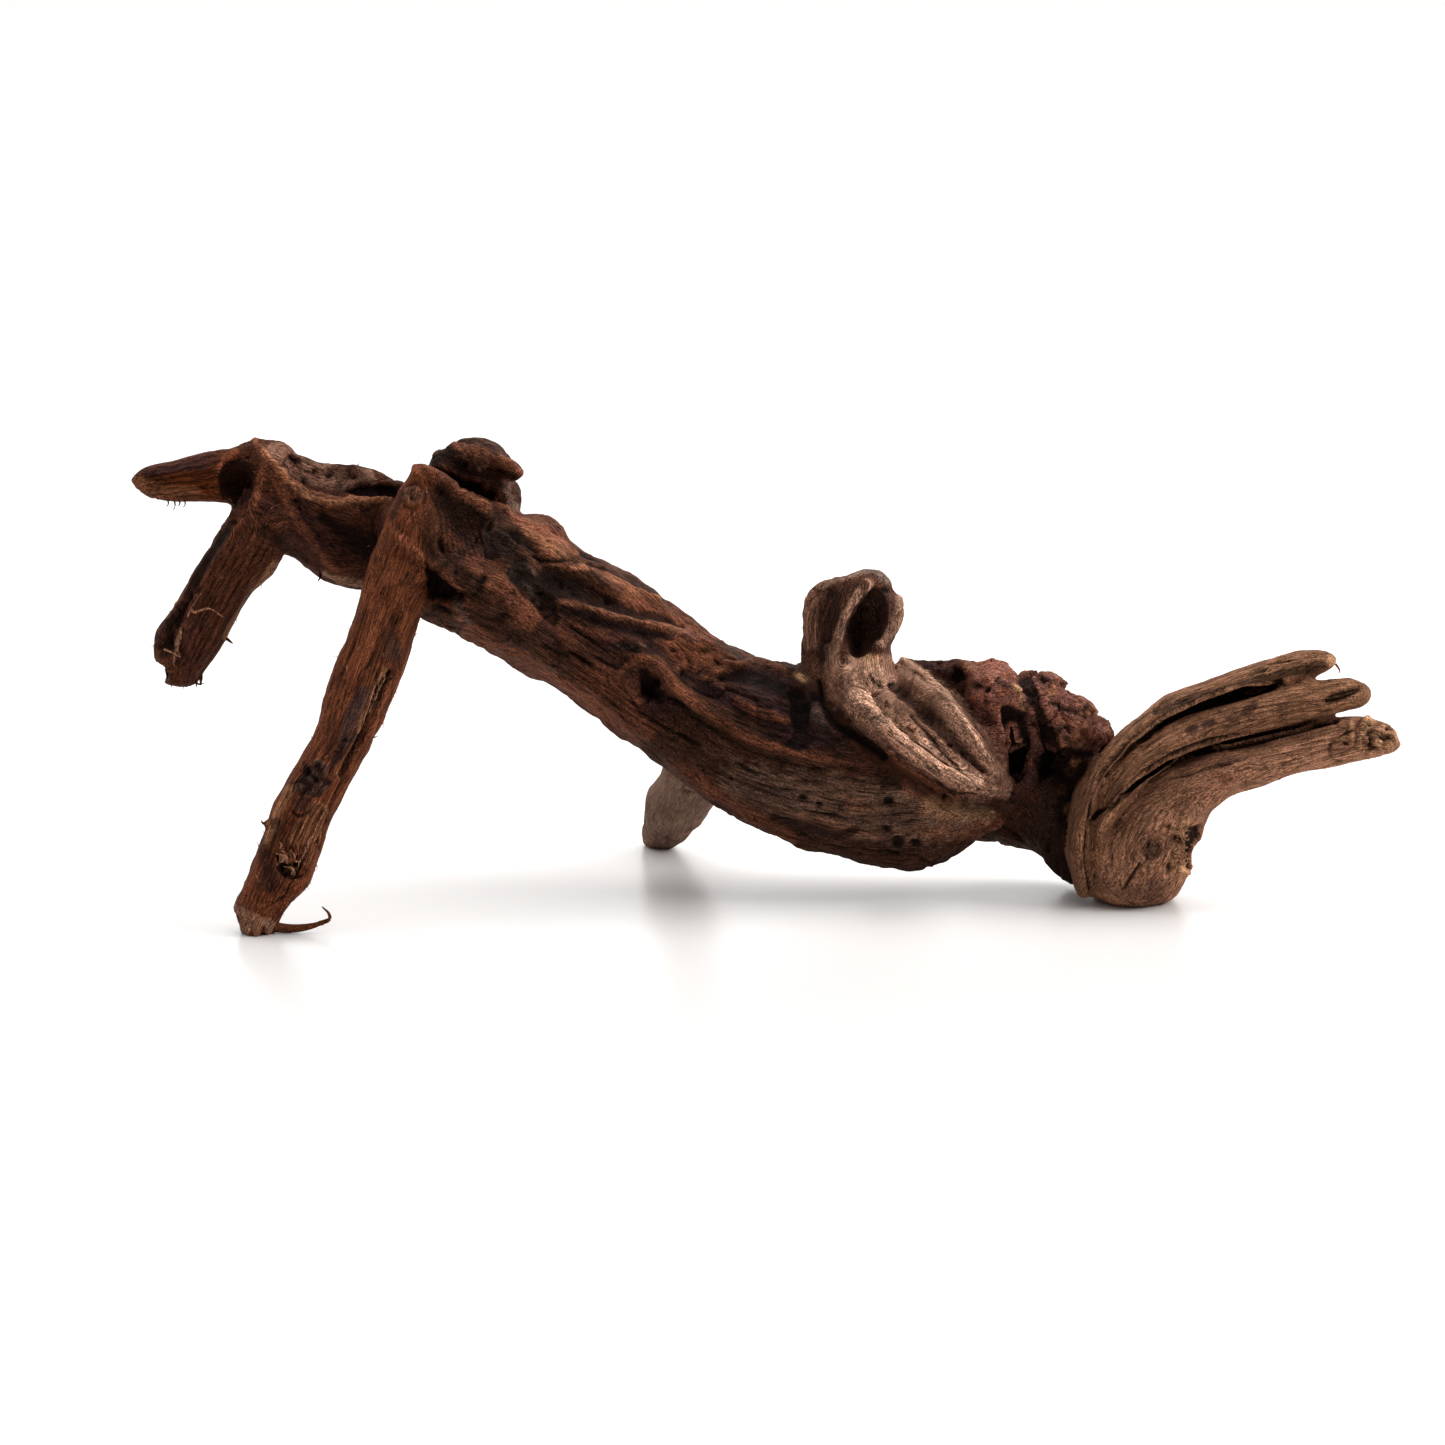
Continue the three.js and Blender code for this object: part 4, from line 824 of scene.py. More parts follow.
def carve_left_arm(c):
    """The left arm: its rough trough and rim, a slot, the twisting band and the hollow below; the slot and
    the hollow are painted dark as their shade.
    """
    arm = c.on("left_arm")
    both = c.on("left_arm hanging_branch")
    rim = [[-149, 133, 1], [-145, 128.4, 1.2], [-140.5, 123.8, 1.2], [-136, 120.4, 1.2], [-131, 118.6, 1.2],
           [-123.6, 118.6, 1.2], [-114, 119.2, 1.1], [-108, 119.6, 0.9]]
    arm.stroke(rim, 1.1, 1.3, warm=0.7, tan=0.1)
    trough = [[-146, 134, 2.4], [-138, 129.4, 4.2], [-129, 126.4, 4.4], [-118, 126.6, 3]]
    arm.stroke(trough, -0.2, 1.5, grey=0.9, warm=0.5)
    pits = ((-129.5, 126.5, 1.4, 2), (-126.6, 123.2, 1.2, 1.8), (-139.6, 130.8, 1.8, 1.2),
            (-134, 127.6, 0.9, 0.8), (-122.4, 126, 1, 0.8), (-137, 124.6, 0.9, 1.3))
    for x, z, across, high in pits:
        arm.spot(x, z, across, high, -0.9, -15, 1, dark=0.45, purple=0.6)
    slot = [[-125.6, 122.4], [-121, 124.2], [-113, 123.8], [-106, 123.4], [-105, 121], [-112, 120],
            [-120, 120.6]]
    # The slot is painted black as its shade.
    arm.patch(slot, -1.8, 0.7, dark=1)
    arm.scatter(((-148, 116), (-108, 133)), None, 60, (0.9, 2.2), 0.8, seed=7, warm=0.5, dark=0.2)
    twist = [[-147, 129, 1.2], [-143.5, 121, 1.4], [-140, 114.5, 1.4], [-135.5, 107.5, 1.4],
             [-130.5, 101, 1.3], [-125.8, 96, 1.2]]
    both.stroke(twist, 0.5, 1.0, warm=0.4)
    arm.stroke([[-137, 113, 3], [-130, 106, 5], [-120, 104, 6], [-112, 104, 4]], 0, purple=0.5)
    arm.fan([[-142, 124, 0.4], [-136, 112, 0.5], [-126, 99, 0.4]],
            [[-132, 118, 0.4], [-127, 111, 0.5], [-117, 101, 0.4]], 6, -0.4, dark=0.4)
    # The hollow under the arm is painted dark as its shade.
    arm.stroke([[-131, 113.5, 2], [-124, 108, 4], [-116, 104, 4.4], [-111, 102, 3]], -1.4, dark=0.85)
    both.stroke([[-149, 110, 2.2], [-143, 105, 2.4], [-137.5, 101, 1.8]], -0.9, dark=0.6)
    arm.stroke([[-131, 97.5, 1], [-127, 95.6, 1.4], [-120, 94.6, 1.4]], 0.6, grey=0.3, tan=0.2)


def carve_left_stub(c):
    """The cut stub and the hollow at its root, painted black as its shade."""
    stub = c.on("left_stub")
    three = c.on("left_arm left_stub hanging_branch")
    hollow = [[-161.6, 126.6], [-159, 130.6], [-154.4, 131.8], [-151.6, 128.6], [-152.4, 121.4],
              [-155, 117.2], [-159.4, 117], [-162, 121]]
    # The hollow and its rim are painted dark as their shade.
    three.patch(hollow, -0.6, 2.0, dark=0.72, purple=0.5)
    three.stroke([[-160.6, 119, 0.8], [-161.6, 124, 0.9], [-160.4, 128.6, 0.9], [-156, 131.6, 0.8]], -0.5,
                 dark=1)
    three.stroke([[-151, 136, 1.2], [-148.6, 131, 1.4], [-150, 124, 1.5], [-152.2, 117, 1.2]], 1.0, warm=0.6)
    stub.stroke([[-162.4, 128, 0.9], [-160.4, 131.8, 0.9], [-156, 134, 0.8]], 0.7, warm=0.5)
    stub.stroke([[-187, 124, 2.6], [-180, 122, 3], [-170, 121, 2.4]], 0, 1, tan=0.08, warm=0.4)
    stub.stroke([[-184, 127.6, 1.4], [-174, 129.6, 1.8], [-164, 132, 1.6]], 0, 1, purple=0.7)
    stub.fan([[-185, 127, 0.4], [-174, 129.4, 0.5], [-162, 133, 0.4]],
             [[-183, 121, 0.4], [-172, 121, 0.5], [-163, 120, 0.4]], 6, -0.35, dark=0.4)
    stub.spot(-167.5, 130, 4, 2, 0, 15, 1, purple=0.7)


def carve_hanging_branch(c):
    """The hanging branch, split down its left side by a groove painted black as its shade, with frayed walls.
    """
    branch = c.on("hanging_branch")
    gap = [[-158, 112.5, 1], [-162.6, 106, 1.5], [-167.6, 98.7, 1.8], [-172, 89.7, 1.9], [-176.6, 80.7, 2],
           [-178.6, 74.7, 1.8]]
    # The groove is painted black as its shade.
    branch.stroke(gap, -0.3, 1.4, dark=0.85)
    strip = [[-157.8, 113.4], [-165, 102.7], [-175.4, 86.8], [-182.4, 77.8], [-180.6, 71.9], [-175.4, 69.8],
             [-173.2, 80.4], [-167.4, 95.3], [-160, 105.9]]
    branch.patch(strip, 0, 1.2, dark=0.4, purple=0.6)
    branch.scatter(((-183, 68), (-156, 114)), strip, 90, (0.9, 2.4), 1.0, seed=4, warm=0.6, dark=0.8)
    branch.stroke([[x + 2.6, z + 0.8, 0.7] for x, z, _ in gap], 0.4, warm=0.6)
    branch.fan([[-154, 111, 0.4], [-164, 95, 0.5], [-174, 72, 0.4]],
               [[-146, 104, 0.4], [-154, 90, 0.5], [-168, 67, 0.4]], 6, -0.35, dark=0.35)
    branch.stroke([[-146, 100, 1.2], [-153, 89.6, 1.4], [-161, 77.6, 1.2]], 0.2, tan=0.3, warm=0.4)
    branch.spot(-160.2, 76.4, 1, 1, 0.9, dark=0.2)


def carve_fingers(c):
    """The two splits between the fingers, painted black as their shade, the shaded undersides, and the broken
    tips with their hollows painted dark.
    """
    foot = c.on("foot")
    top = c.on("upper_finger")
    middle = c.on("middle_finger")
    three = c.on("foot upper_finger middle_finger")
    upper = [[97, 12, 0.5], [97.8, 21, 0.7], [99.9, 31.4, 0.9], [103.3, 38.4, 1], [110.2, 46.2, 1.3],
             [118.7, 52.2, 1.7], [127.3, 56.4, 1.9], [139, 59.6, 1.9], [147, 61.4, 1.5], [155, 63.5, 0.9]]
    lower = [[98, 20, 0.5], [101.2, 24.4, 0.6], [105, 28, 0.9], [111, 33.2, 1.3], [118.7, 38.2, 1.6],
             [127.3, 42.4, 1.8], [137.5, 45.2, 1.8], [147.8, 47, 1.5], [159.8, 49.7, 1.1],
             [171.7, 52.3, 0.7]]
    # The splits are painted black as their shade.
    for line in (upper, lower):
        three.stroke(line, -1.8, 2, dark=1)
    facet = [[117, 55, 1.1], [130, 60, 1.6], [142, 63, 1.9], [155, 66.2, 2.2], [167, 69, 2]]
    top.stroke(facet, -0.7, 1.5, dark=0.72)
    foot.stroke([[140, 43.4, 1], [152, 45.4, 1.3], [166, 48.6, 1.5], [173, 50.4, 1.2]], -0.4, 1.5, dark=0.55)
    top.fan([[96.5, 22, 0.4], [104, 41, 0.4], [124, 58, 0.4], [150, 68, 0.4]],
            [[94, 22, 0.4], [101, 43, 0.4], [120, 60, 0.4], [148, 71, 0.4]], 3, -0.3, dark=0.35)
    middle.fan([[101, 24, 0.4], [112, 42, 0.4], [134, 54, 0.4], [160, 60, 0.4]],
               [[105, 24, 0.4], [118, 38, 0.4], [138, 48, 0.4], [162, 53, 0.4]], 5, -0.3, dark=0.3)
    tip = [[167.6, 58.4], [170, 60.4], [174.6, 62], [178.4, 63], [179, 61.4], [176, 59.4], [172, 57.4],
           [168.6, 57]]
    # The hollow end of the middle finger is painted dark as its shade.
    middle.patch(tip, -1.6, 0.8, dark=0.85)
    middle.stroke([[169, 58.8, 0.4], [174, 60.4, 0.5], [178, 61.8, 0.4]], 0.8, tan=0.4)
    for x, z in ((128, 49.5), (133.5, 51.6), (139.5, 52.6), (144.5, 54.6), (146, 56.4)):
        middle.spot(x, z, 2.6, 1.4, 0, 20, 1, dark=0.4, purple=0.7)
    torn = [[170, 47.6], [173, 50.6], [178, 51.8], [184, 51.6], [188, 50], [189.6, 45.4], [187, 43],
            [181, 42.6], [175, 43.4], [171, 45]]
    foot.patch(torn, -0.3, 1.2, dark=0.3, warm=0.3)
    foot.scatter(((170, 42.6), (190, 52)), torn, 46, (0.9, 2.6), 1.4, seed=8, tan=0.6, dark=0.85)
    top.spot(170, 70.4, 3, 2, 0.2, 0, tan=0.5)


def carve_foot(c):
    """The foot: flowing grain round a dark knot, a crack, and the torn hole at its right. The crack and the
    hole are painted dark as their shade, and the foot darker along its bottom as painted shade.
    """
    foot = c.on("foot")
    top = c.on("upper_finger")
    both = c.on("foot upper_finger")
    foot.fan([[104, 2, 0.4], [102, 14, 0.5], [108, 26, 0.5], [124, 36, 0.4]],
             [[124, 3, 0.4], [126, 14, 0.5], [128, 24, 0.5], [140, 34, 0.4]], 11, -0.32, dark=0.3)
    top.fan([[92.5, 4, 0.4], [92, 16, 0.4], [96, 30, 0.4]], [[98, 2, 0.4], [96, 16, 0.4], [99.5, 30, 0.4]],
            4, -0.3, dark=0.3)
    both.stroke([[97, 13, 0.5], [97.4, 6, 0.6], [98.4, 0, 0.5]], -0.8, dark=0.8)
    knot = [[113.4, 13.2], [115.4, 15.2], [118.6, 15.4], [120.6, 13.4], [119.8, 10], [116.6, 8.8],
            [113.8, 10.2]]
    foot.patch(knot, -0.2, 1.4, dark=0.6, grey=0.2)
    foot.rings(117, 12.2, (2.2, 4.8, 6.6), -0.3, 0.85, dark=0.4)
    # The crack is painted black as its shade.
    foot.stroke([[113.6, 7.9, 0.5], [110.6, 3.4, 0.8], [108.8, 0, 0.6]], -1.1, dark=1)
    # The torn hole is painted black as its shade.
    hole = [[128.4, 18.6], [131.6, 20], [134, 17], [133.6, 10], [131, 5.6], [128, 6.4], [127.4, 12]]
    foot.patch(hole, -2.2, 0.8, dark=1)
    foot.scatter(((122, 4), (134, 21)), None, 50, (0.8, 2.0), 1.2, seed=9, tan=0.6, dark=0.6)
    foot.stroke([[121, 19.6, 0.6], [125.4, 18.6, 0.8], [128.4, 19.4, 0.6]], -0.6, dark=0.6)
    foot.stroke([[122, 34.6, 0.4], [129, 36, 0.5], [134, 37.6, 0.6], [140, 39.2, 0.5]], -0.5, dark=0.75)
    foot.spot(137.5, 38.6, 2.4, 1, -0.3, 10, dark=0.8)
    foot.spot(138, 35, 4, 2, 0, -20, 1, purple=0.5, warm=0.5)
    foot.fan([[140, 36, 0.4], [156, 40.5, 0.4], [170, 43, 0.4]],
             [[142, 41, 0.4], [157, 45, 0.4], [170, 48, 0.4]], 4, -0.3, dark=0.3)
    # The foot is painted darker along its bottom, as the shade near the table.
    foot.stroke([[100, 2, 3], [108, 0, 3], [118, -1, 3]], 0, dark=0.45)


CARVERS = (
    carve_crest,
    carve_knob,
    carve_stem,
    carve_middle,
    carve_belly,
    carve_spoon,
    carve_burl,
    carve_curl,
    carve_front_leg,
    carve_left_arm,
    carve_left_stub,
    carve_hanging_branch,
    carve_fingers,
    carve_foot,
)


def carve_back(c):
    """Knots and pits, scattered over what the eye doesn't see."""
    chance = np.random.default_rng(7)
    hidden = np.flatnonzero((c.facing < 0.05) & (c.points[:, 2] > 4))
    for kind in ("knot",) * KNOTS_BEHIND + ("pit",) * PITS_BEHIND:
        at = c.points[chance.choice(hidden)]
        size = chance.uniform(2.4, 4.2) if kind == "knot" else chance.uniform(0.6, 1.7)
        near = np.flatnonzero(np.all(np.abs(c.points - at) < 2.5 * size, axis=1))
        away = np.linalg.norm(c.points[near] - at, axis=1) / size
        if kind == "knot":
            c.rise[near] += (0.9 * np.cos(7 * away) - 0.5) * np.exp(-(away**2)) * 0.6
            dark = 0.7 * np.exp(-(away**2)) * (0.5 - 0.5 * np.cos(7 * away))
        else:
            # Pits are painted dark as their shade.
            c.rise[near] -= 1.1 * np.exp(-(away**3))
            dark = 0.9 * np.exp(-(away**3))
        c.masks["dark"][near] = np.maximum(c.masks["dark"][near], dark)


# Markings drawn out along the grain: how wide and how long they are in mm, and their seed.
MARKINGS = {
    "swell": (8.0, 40.0, 2),
    "crack": (9.0, 50.0, 3),
    "groove": (3.2, 22.0, 4),
    "fibre": (1.3, 9.0, 14),
    "grit": (1.6, 2.6, 17),
    "streak": (2.2, 30.0, 21),
    "warmth": (7.0, 40.0, 23),
    "stain": (1.6, 12.0, 24),
    "thread": (1.1, 10.0, 25),
    "speck": (1.2, 2.0, 27),
    "torn end": (1.7, 80.0, 51),
}


def marking(grain, name):
    """Smooth noise from -1 to 1 in the size of one of the markings."""
    wide, long, seed = MARKINGS[name]
    return noise(grain / [wide, wide, long], seed)


# Relief that covers every side.
def shares(label):
    """For each node's name, 1 on the node and 0 elsewhere."""
    return {name: (label == i).astype(float) for i, name in enumerate(NAMES)}


def burl_share(place, label):
    """1 on the burl and the lumpy slope before it."""
    return (label == NAMES.index("trunk")) * step(*BURL_X, place[:, 0]) * step(*BURL_Z, place[:, 1])


def relief(points, grain, label, place):
    """Lumps, fibre ridges, cracks and pits in mm, and how dark each hollow is painted as its shade."""
    share = shares(label)
    calm = share["foot"] + share["upper_finger"] + share["middle_finger"] + share["left_stub"]
    wild = share["trunk"] + share["curl"] + 0.8 * share["left_arm"]
    burl = burl_share(place, label)
    wave = np.stack([rough(points / 16, 5), rough(points / 16, 6), 0 * points[:, 0]], 1) * 3.0
    ripple = np.stack([noise(points / 5, 11), noise(points / 5, 12), 0 * points[:, 0]], 1) * 0.7
    bend = grain + wave + ripple
    lumps = rough(points / 12, 1) * (0.4 + 0.6 * wild - 0.2 * calm)
    swell = marking(bend, "swell") * (0.4 + 0.1 * wild - 0.15 * calm)
    deep = groove(marking(bend, "crack"), 0.05) * step(-0.1, 0.3, noise(points / 19, 8))
    fine = groove(marking(bend, "groove"), 0.13) * step(-0.3, 0.3, noise(points / 11, 13))
    fibres = marking(bend, "fibre")
    grit = 0.18 * marking(bend, "grit") + 0.3 * noise(points / 3.6, 18)
    pits = step(0.68, 0.86, noise(points / 2.6, 9)) * step(0.1, 0.5, noise(points / 20, 10))
    pits = pits * (0.2 + 0.6 * wild)
    rise = lumps + swell - (0.8 - 0.3 * calm) * deep - (0.32 - 0.08 * calm) * fine - 0.8 * pits
    rise += 0.18 * fibres + (0.4 + 0.8 * wild - 0.2 * calm) * grit
    # The cracks, grooves and pits are painted dark as their shade.
    dark = np.clip(0.7 * deep + 0.4 * fine + 0.9 * pits, 0, 1)
    rocky = np.flatnonzero(burl > 0)
    burl = burl * (0.45 + 0.55 * step(72, 82, place[:, 0]))
    for size, high, seed in ((9.0, 1.3, 61), (4.4, 0.5, 71)):
        chips, edges = facets(points[rocky] / size + 0.15 * ripple[rocky], seed)
        rise[rocky] += high * burl[rocky] * (chips - 0.25 * edges)
        # The edges between the burl's chips are painted dark as their shade.
        dark[rocky] = np.maximum(dark[rocky], 0.5 * edges * burl[rocky])
    return rise, dark


# Colours, as linear light.
def linear(code):
    """A colour's three numbers from its six-digit code."""
    channels = [int(code[i : i + 2], 16) / 255 for i in (0, 2, 4)]
    return np.array([c / 12.92 if c <= 0.04045 else ((c + 0.055) / 1.055) ** 2.4 for c in channels])


CODES = {
    "trunk": "3b2318",
    "front_leg": "683923",
    # The rear leg's pale grey is painted haze, the light from behind it laid over its wood.
    "rear_leg": "7a5f50",
    "left_arm": "462618",
    "left_stub": "52260d",
    "hanging_branch": "4f2c1d",
    "curl": "553628",
    "foot": "91664e",
    "upper_finger": "7d5740",
    "middle_finger": "7d5740",
    "dark": "0b0706",
    "pale": "dcae92",
    "tan": "c4966c",
    "warm": "7e4932",
    "grey": "7a665a",
    "purple": "382120",
    "burl": "835446",
    # The neck's colour is painted shade, the dark of its recess.
    "neck_shade": "33201b",
    "fibre": "966a50",
}
PALETTE = {name: linear(code) for name, code in CODES.items()}


def mixed(base, name, share):
    """Colours with a share of one of the palette's over them."""
    return base + (PALETTE[name] - base) * np.clip(share, 0, 1)[:, None]


def tint_of(points, grain, label, place, masks, hollow, web):
    """The wood's colour at each point, from its limb, the shade painted into its hollows and what was carved
    there.
    """
    base = np.zeros((len(points), 3))
    for number, name in enumerate(NAMES):
        base[label == number] = PALETTE[name]
    # The rear leg's painted haze fades into the trunk's colour as the leg rises.
    base = mixed(base, "trunk", (label == NAMES.index("rear_leg")) * step(*REAR_LEG_HAZE_FADE_Z, points[:, 2]))
    base = web.smooth(base, 7)
    trunk = label == NAMES.index("trunk")
    base = mixed(base, "burl", 0.8 * burl_share(place, label) * (1 - step(*BURL_FADE_Y, points[:, 1])))
    # The neck under the burl is painted dark as the shade of its recess.
    base = mixed(base, "neck_shade", 0.85 * trunk * step(*NECK_SHADE_X, place[:, 0]) * step(*NECK_SHADE_Z, place[:, 1]))
    streak = marking(grain, "streak")
    thread = marking(grain, "thread")
    speck = marking(grain, "speck")
    patch = rough(points / 13, 22)
    base = base * np.exp(0.28 * patch + 0.14 * streak + 0.16 * thread + 0.14 * speck)[:, None]
    warm = step(0.1, 0.9, marking(grain, "warmth") + 0.6 * patch)
    base = mixed(base, "warm", 0.22 * warm * (trunk + 0.5))
    stain = step(0.3, 0.6, rough(points / 9, 26))
    base = mixed(base, "purple", 0.4 * stain)
    uneven = 1 + 0.45 * marking(grain, "stain")
    for name in STAINS_AND_PAINTED_LIGHT:
        base = mixed(base, name, 0.9 * np.clip(masks[name] * uneven, 0, 1))
    # The dark marks and the shade painted into the hollows both draw the colour towards dark.
    return mixed(base, "dark", np.clip(0.92 * masks["dark"] + hollow, 0, 0.95))


# Loose fibres and splinters: thin tapering tubes, as dicts of rows that join a piece's own.
def tube(path, radius, colour, sides=5, grow=4):
    """A closed tube along points in mm that thins to its end."""
    path = smooth_path(path, grow)
    along = unit(np.gradient(path, axis=0))
    one = unit(np.cross(along, [0.31, 0.17, 0.94]))
    two = np.cross(along, one)
    turns = 2 * math.pi * np.arange(sides) / sides
    out = np.cos(turns)[None, :, None] * one[:, None] + np.sin(turns)[None, :, None] * two[:, None]
    thin = radius * (1 - 0.75 * np.linspace(0, 1, len(path)) ** 1.5)
    rings = path[:, None] + thin[:, None, None] * out
    points = np.vstack([rings.reshape(-1, 3), path[:1], path[-1:]])
    points[:, 2] = np.maximum(points[:, 2], 0)
    faces = []
    last = len(path) - 1
    for side in range(sides):
        after = (side + 1) % sides
        for ring in range(last):
            low, high = ring * sides, (ring + 1) * sides
            faces.append([low + side, low + after, high + after, high + side])
        faces.append([len(points) - 2, after, side])
        faces.append([len(points) - 1, last * sides + side, last * sides + after])
    return {"points": points, "faces": faces, "normals": np.vstack([out.reshape(-1, 3), -along[:1],
                                                                    along[-1:]]),
            "tint": np.tile(colour, (len(points), 1)), "grain": points * [1.0, 1.0, 0.2], }


class Fibres:
    """Tubes for each node, laid on the finished skin."""

    def __init__(self, points, normals, flow, carving):
        self.points, self.normals, self.flow = points, normals, flow
        self.place = carving.place
        self.front = np.flatnonzero(carving.facing > 0.2)
        self.label = carving.label
        self.made = {name: [] for name in NAMES}

    def on_skin(self, x, z, lift):
        """The skin's point that the eye sees at x, z, lifted off it by some mm."""
        gap = np.abs(self.place[self.front] - (x, z)).sum(1)
        near = self.front[gap < max(1.2 * VOXEL, gap.min() + 0.01)]
        spot = near[np.argmin(self.points[near, 1])]
        return self.points[spot] + self.normals[spot] * lift

    def lay(self, node, route, radius, colour="fibre"):
        """A fibre through points [x, z, lift] seen from the front."""
        path = [self.on_skin(*spot) for spot in route]
        self.made[node].append(tube(path, radius, PALETTE[colour]))

    def hang(self, node, route, radius, colour="fibre"):
        """A fibre through points [x, z, depth] seen from the front."""
        path = [seen(*spot) for spot in route]
        self.made[node].append(tube(path, radius, PALETTE[colour]))

    def fuzz(self, node, count, length, seed):
        """Short fibres that stand a little off the skin along the grain."""
        chance = np.random.default_rng(seed)
        own = np.flatnonzero(self.label == NAMES.index(node))
        for spot in chance.choice(own, count):
            start = self.points[spot] - 0.3 * self.normals[spot]
            along = self.flow[spot] * chance.choice([-1, 1]) + chance.normal(0, 0.25, 3)
            out = self.normals[spot] * chance.uniform(0.25, 0.9)
            reach = length * chance.uniform(0.5, 1.2)
            path = [start, start + 0.5 * reach * (along + 0.6 * out), start + reach * (along + out)]
            colour = PALETTE["fibre" if chance.random() < 0.4 else node]
            self.made[node].append(tube(path, chance.uniform(0.1, 0.22), colour, 3, 2))


def fray_left(f):
    """Frayed fibres on the left branches."""
    branch = "hanging_branch"
    f.lay(branch, [[-171.5, 86.5, 0.2], [-169.7, 85.4, 1.2], [-166, 86.4, 2], [-161.7, 84.2, 2.4]], 0.45)
    f.lay(branch, [[-172.5, 84, 0.2], [-170.8, 86.8, 1], [-167.8, 91, 0.8]], 0.35)
    for i in range(6):
        x = -174.2 - 0.35 * i
        end = [x - 1.4 + 0.5 * (i % 3), 73.5 - 0.8 * i, 1.6]
        f.lay(branch, [[x, 80.5 - 1.1 * i, 0.6], [x - 0.6, 77 - i, 1.2], end], 0.34)
    f.lay(branch, [[-179.2, 74.2, 0.4], [-177, 72.8, 1.4], [-174.6, 71.6, 1.6]], 0.4)
    for i in range(9):
        x, low = -179 + 1.25 * i, 63.4 - 0.5 * (i * 5 % 3)
        f.hang(branch, [[x, 68, -4.6], [x + 0.3, 65.4, -5.4], [x + 0.1, low, -5.6]], 0.5 + 0.2 * (i % 3),
               branch)
    f.hang(branch, [[-160.8, 77.2, -6], [-159.6, 76.2, -6.5], [-158.9, 75.6, -7]], 0.5, branch)
    f.hang(branch, [[-171, 64.2, -6], [-169.2, 63.2, -7], [-167.8, 63.6, -7]], 0.4, branch)
    for x, z, length in ((-177.6, 118.9, 1.8), (-175.6, 118.8, 2.8), (-172.6, 118.9, 2),
                         (-174.2, 118.7, 1.4)):
        hair = [[x, z + 0.8, 0], [x + 0.3, z - 0.5 * length, -1], [x - 0.4, z - length, -1]]
        f.hang("left_stub", hair, 0.3, "left_stub")
    f.hang("left_arm", [[-132.4, 97.2, 4], [-132.6, 95.6, 3], [-133.2, 94.6, 3]], 0.45, "dark")


def fray_front_leg(f):
    """Torn fibres at the leg's slit and knot, and the splinter that lies on the table before it."""
    leg = "front_leg"
    for i in range(7):
        x, z = -113.2 - 0.7 * i, 64.5 - 1.5 * i
        f.lay(leg, [[x + 1.2, z + 1.4, 0.2], [x + 0.6, z, 1.0], [x - 0.2 - 0.2 * (i % 3), z - 1.8, 1.3]],
              0.3)
    chance = np.random.default_rng(12)
    for _ in range(30):
        turn, reach = chance.uniform(0.8, 2.6), chance.uniform(1.0, 3.2)
        x, z = (-143.1, 8.9) + chance.normal(0, (1.7, 2.0))
        middle = [x + 0.5 * reach * math.cos(turn), z + 0.5 * reach * math.sin(turn), 0.9]
        end = [x + reach * math.cos(turn + 0.4), z + reach * math.sin(turn + 0.4), chance.uniform(0.4, 1.6)]
        f.lay(leg, [[x, z, 0.0], middle, end], chance.uniform(0.25, 0.5), chance.choice(["fibre", "warm"]))
    for i in range(8):
        x, z = -131.8 - 1.0 * i, 24.5 - 1.9 * i
        f.lay(leg, [[x, z, 0.1], [x - 1.3, z - 2, 0.7], [x - 2.2, z - 4, 0.5]], 0.32)
    f.hang(leg, [[-149.4, 21, -44], [-150.8, 20.4, -44], [-151.4, 21.4, -44]], 0.6, leg)
    f.hang(leg, [[-149, -11.6, -53], [-143, -12.2, -53.6], [-137, -11.5, -54], [-131.6, -9.6, -54]], 1.6,
           leg)
    f.hang(leg, [[-148, -11.8, -54], [-141, -12.2, -54.6], [-133, -10.8, -55]], 1.1, leg)
    f.hang(leg, [[-134.4, -10.6, -54], [-131.4, -9.4, -54], [-131.6, -7.4, -54], [-133.6, -5.4, -54]], 0.75,
           leg)
    for x, z in ((-158.8, -9.8), (-156.4, -11.9), (-152.2, -13), (-150.2, -12.6)):
        f.hang(leg, [[x - 0.2, z + 4, -53], [x, z + 1.5, -53.5], [x + 0.3, z - 0.4, -53.8]], 0.55, leg)


# The short fibres on each limb: how many, and how long in mm.
FUZZ = {
    "front_leg": (420, 1.5),
    "hanging_branch": (120, 1.3),
    "left_stub": (60, 1.1),
    "left_arm": (120, 1.1),
    "foot": (160, 1.1),
    "middle_finger": (60, 1.0),
    "upper_finger": (60, 1.0),
}
FIRST_FUZZ_SEED = 31


def lay_fibres(f):
    """The loose fibres of every limb."""
    fray_left(f)
    fray_front_leg(f)
    chance = np.random.default_rng(11)
    for _ in range(22):
        x, z, reach = chance.uniform(124.6, 128.4), chance.uniform(7, 19), chance.uniform(0.6, 2.2)
        rise = chance.uniform(-0.8, 0.5)
        f.lay("foot", [[x - 1, z - rise, 0], [x, z, 0.7], [x + reach, z + rise, 1.2]],
              chance.uniform(0.2, 0.4))
    f.hang("middle_finger", [[154, 62.6, -9], [155.4, 63.8, -9], [156.8, 64.8, -9]], 0.5, "middle_finger")
    f.hang("upper_finger", [[171, 69.4, -6], [172.2, 67.6, -6], [172, 66.4, -6]], 0.4, "upper_finger")
    for seed, (node, (count, length)) in enumerate(FUZZ.items(), FIRST_FUZZ_SEED):
        f.fuzz(node, count, length, seed)


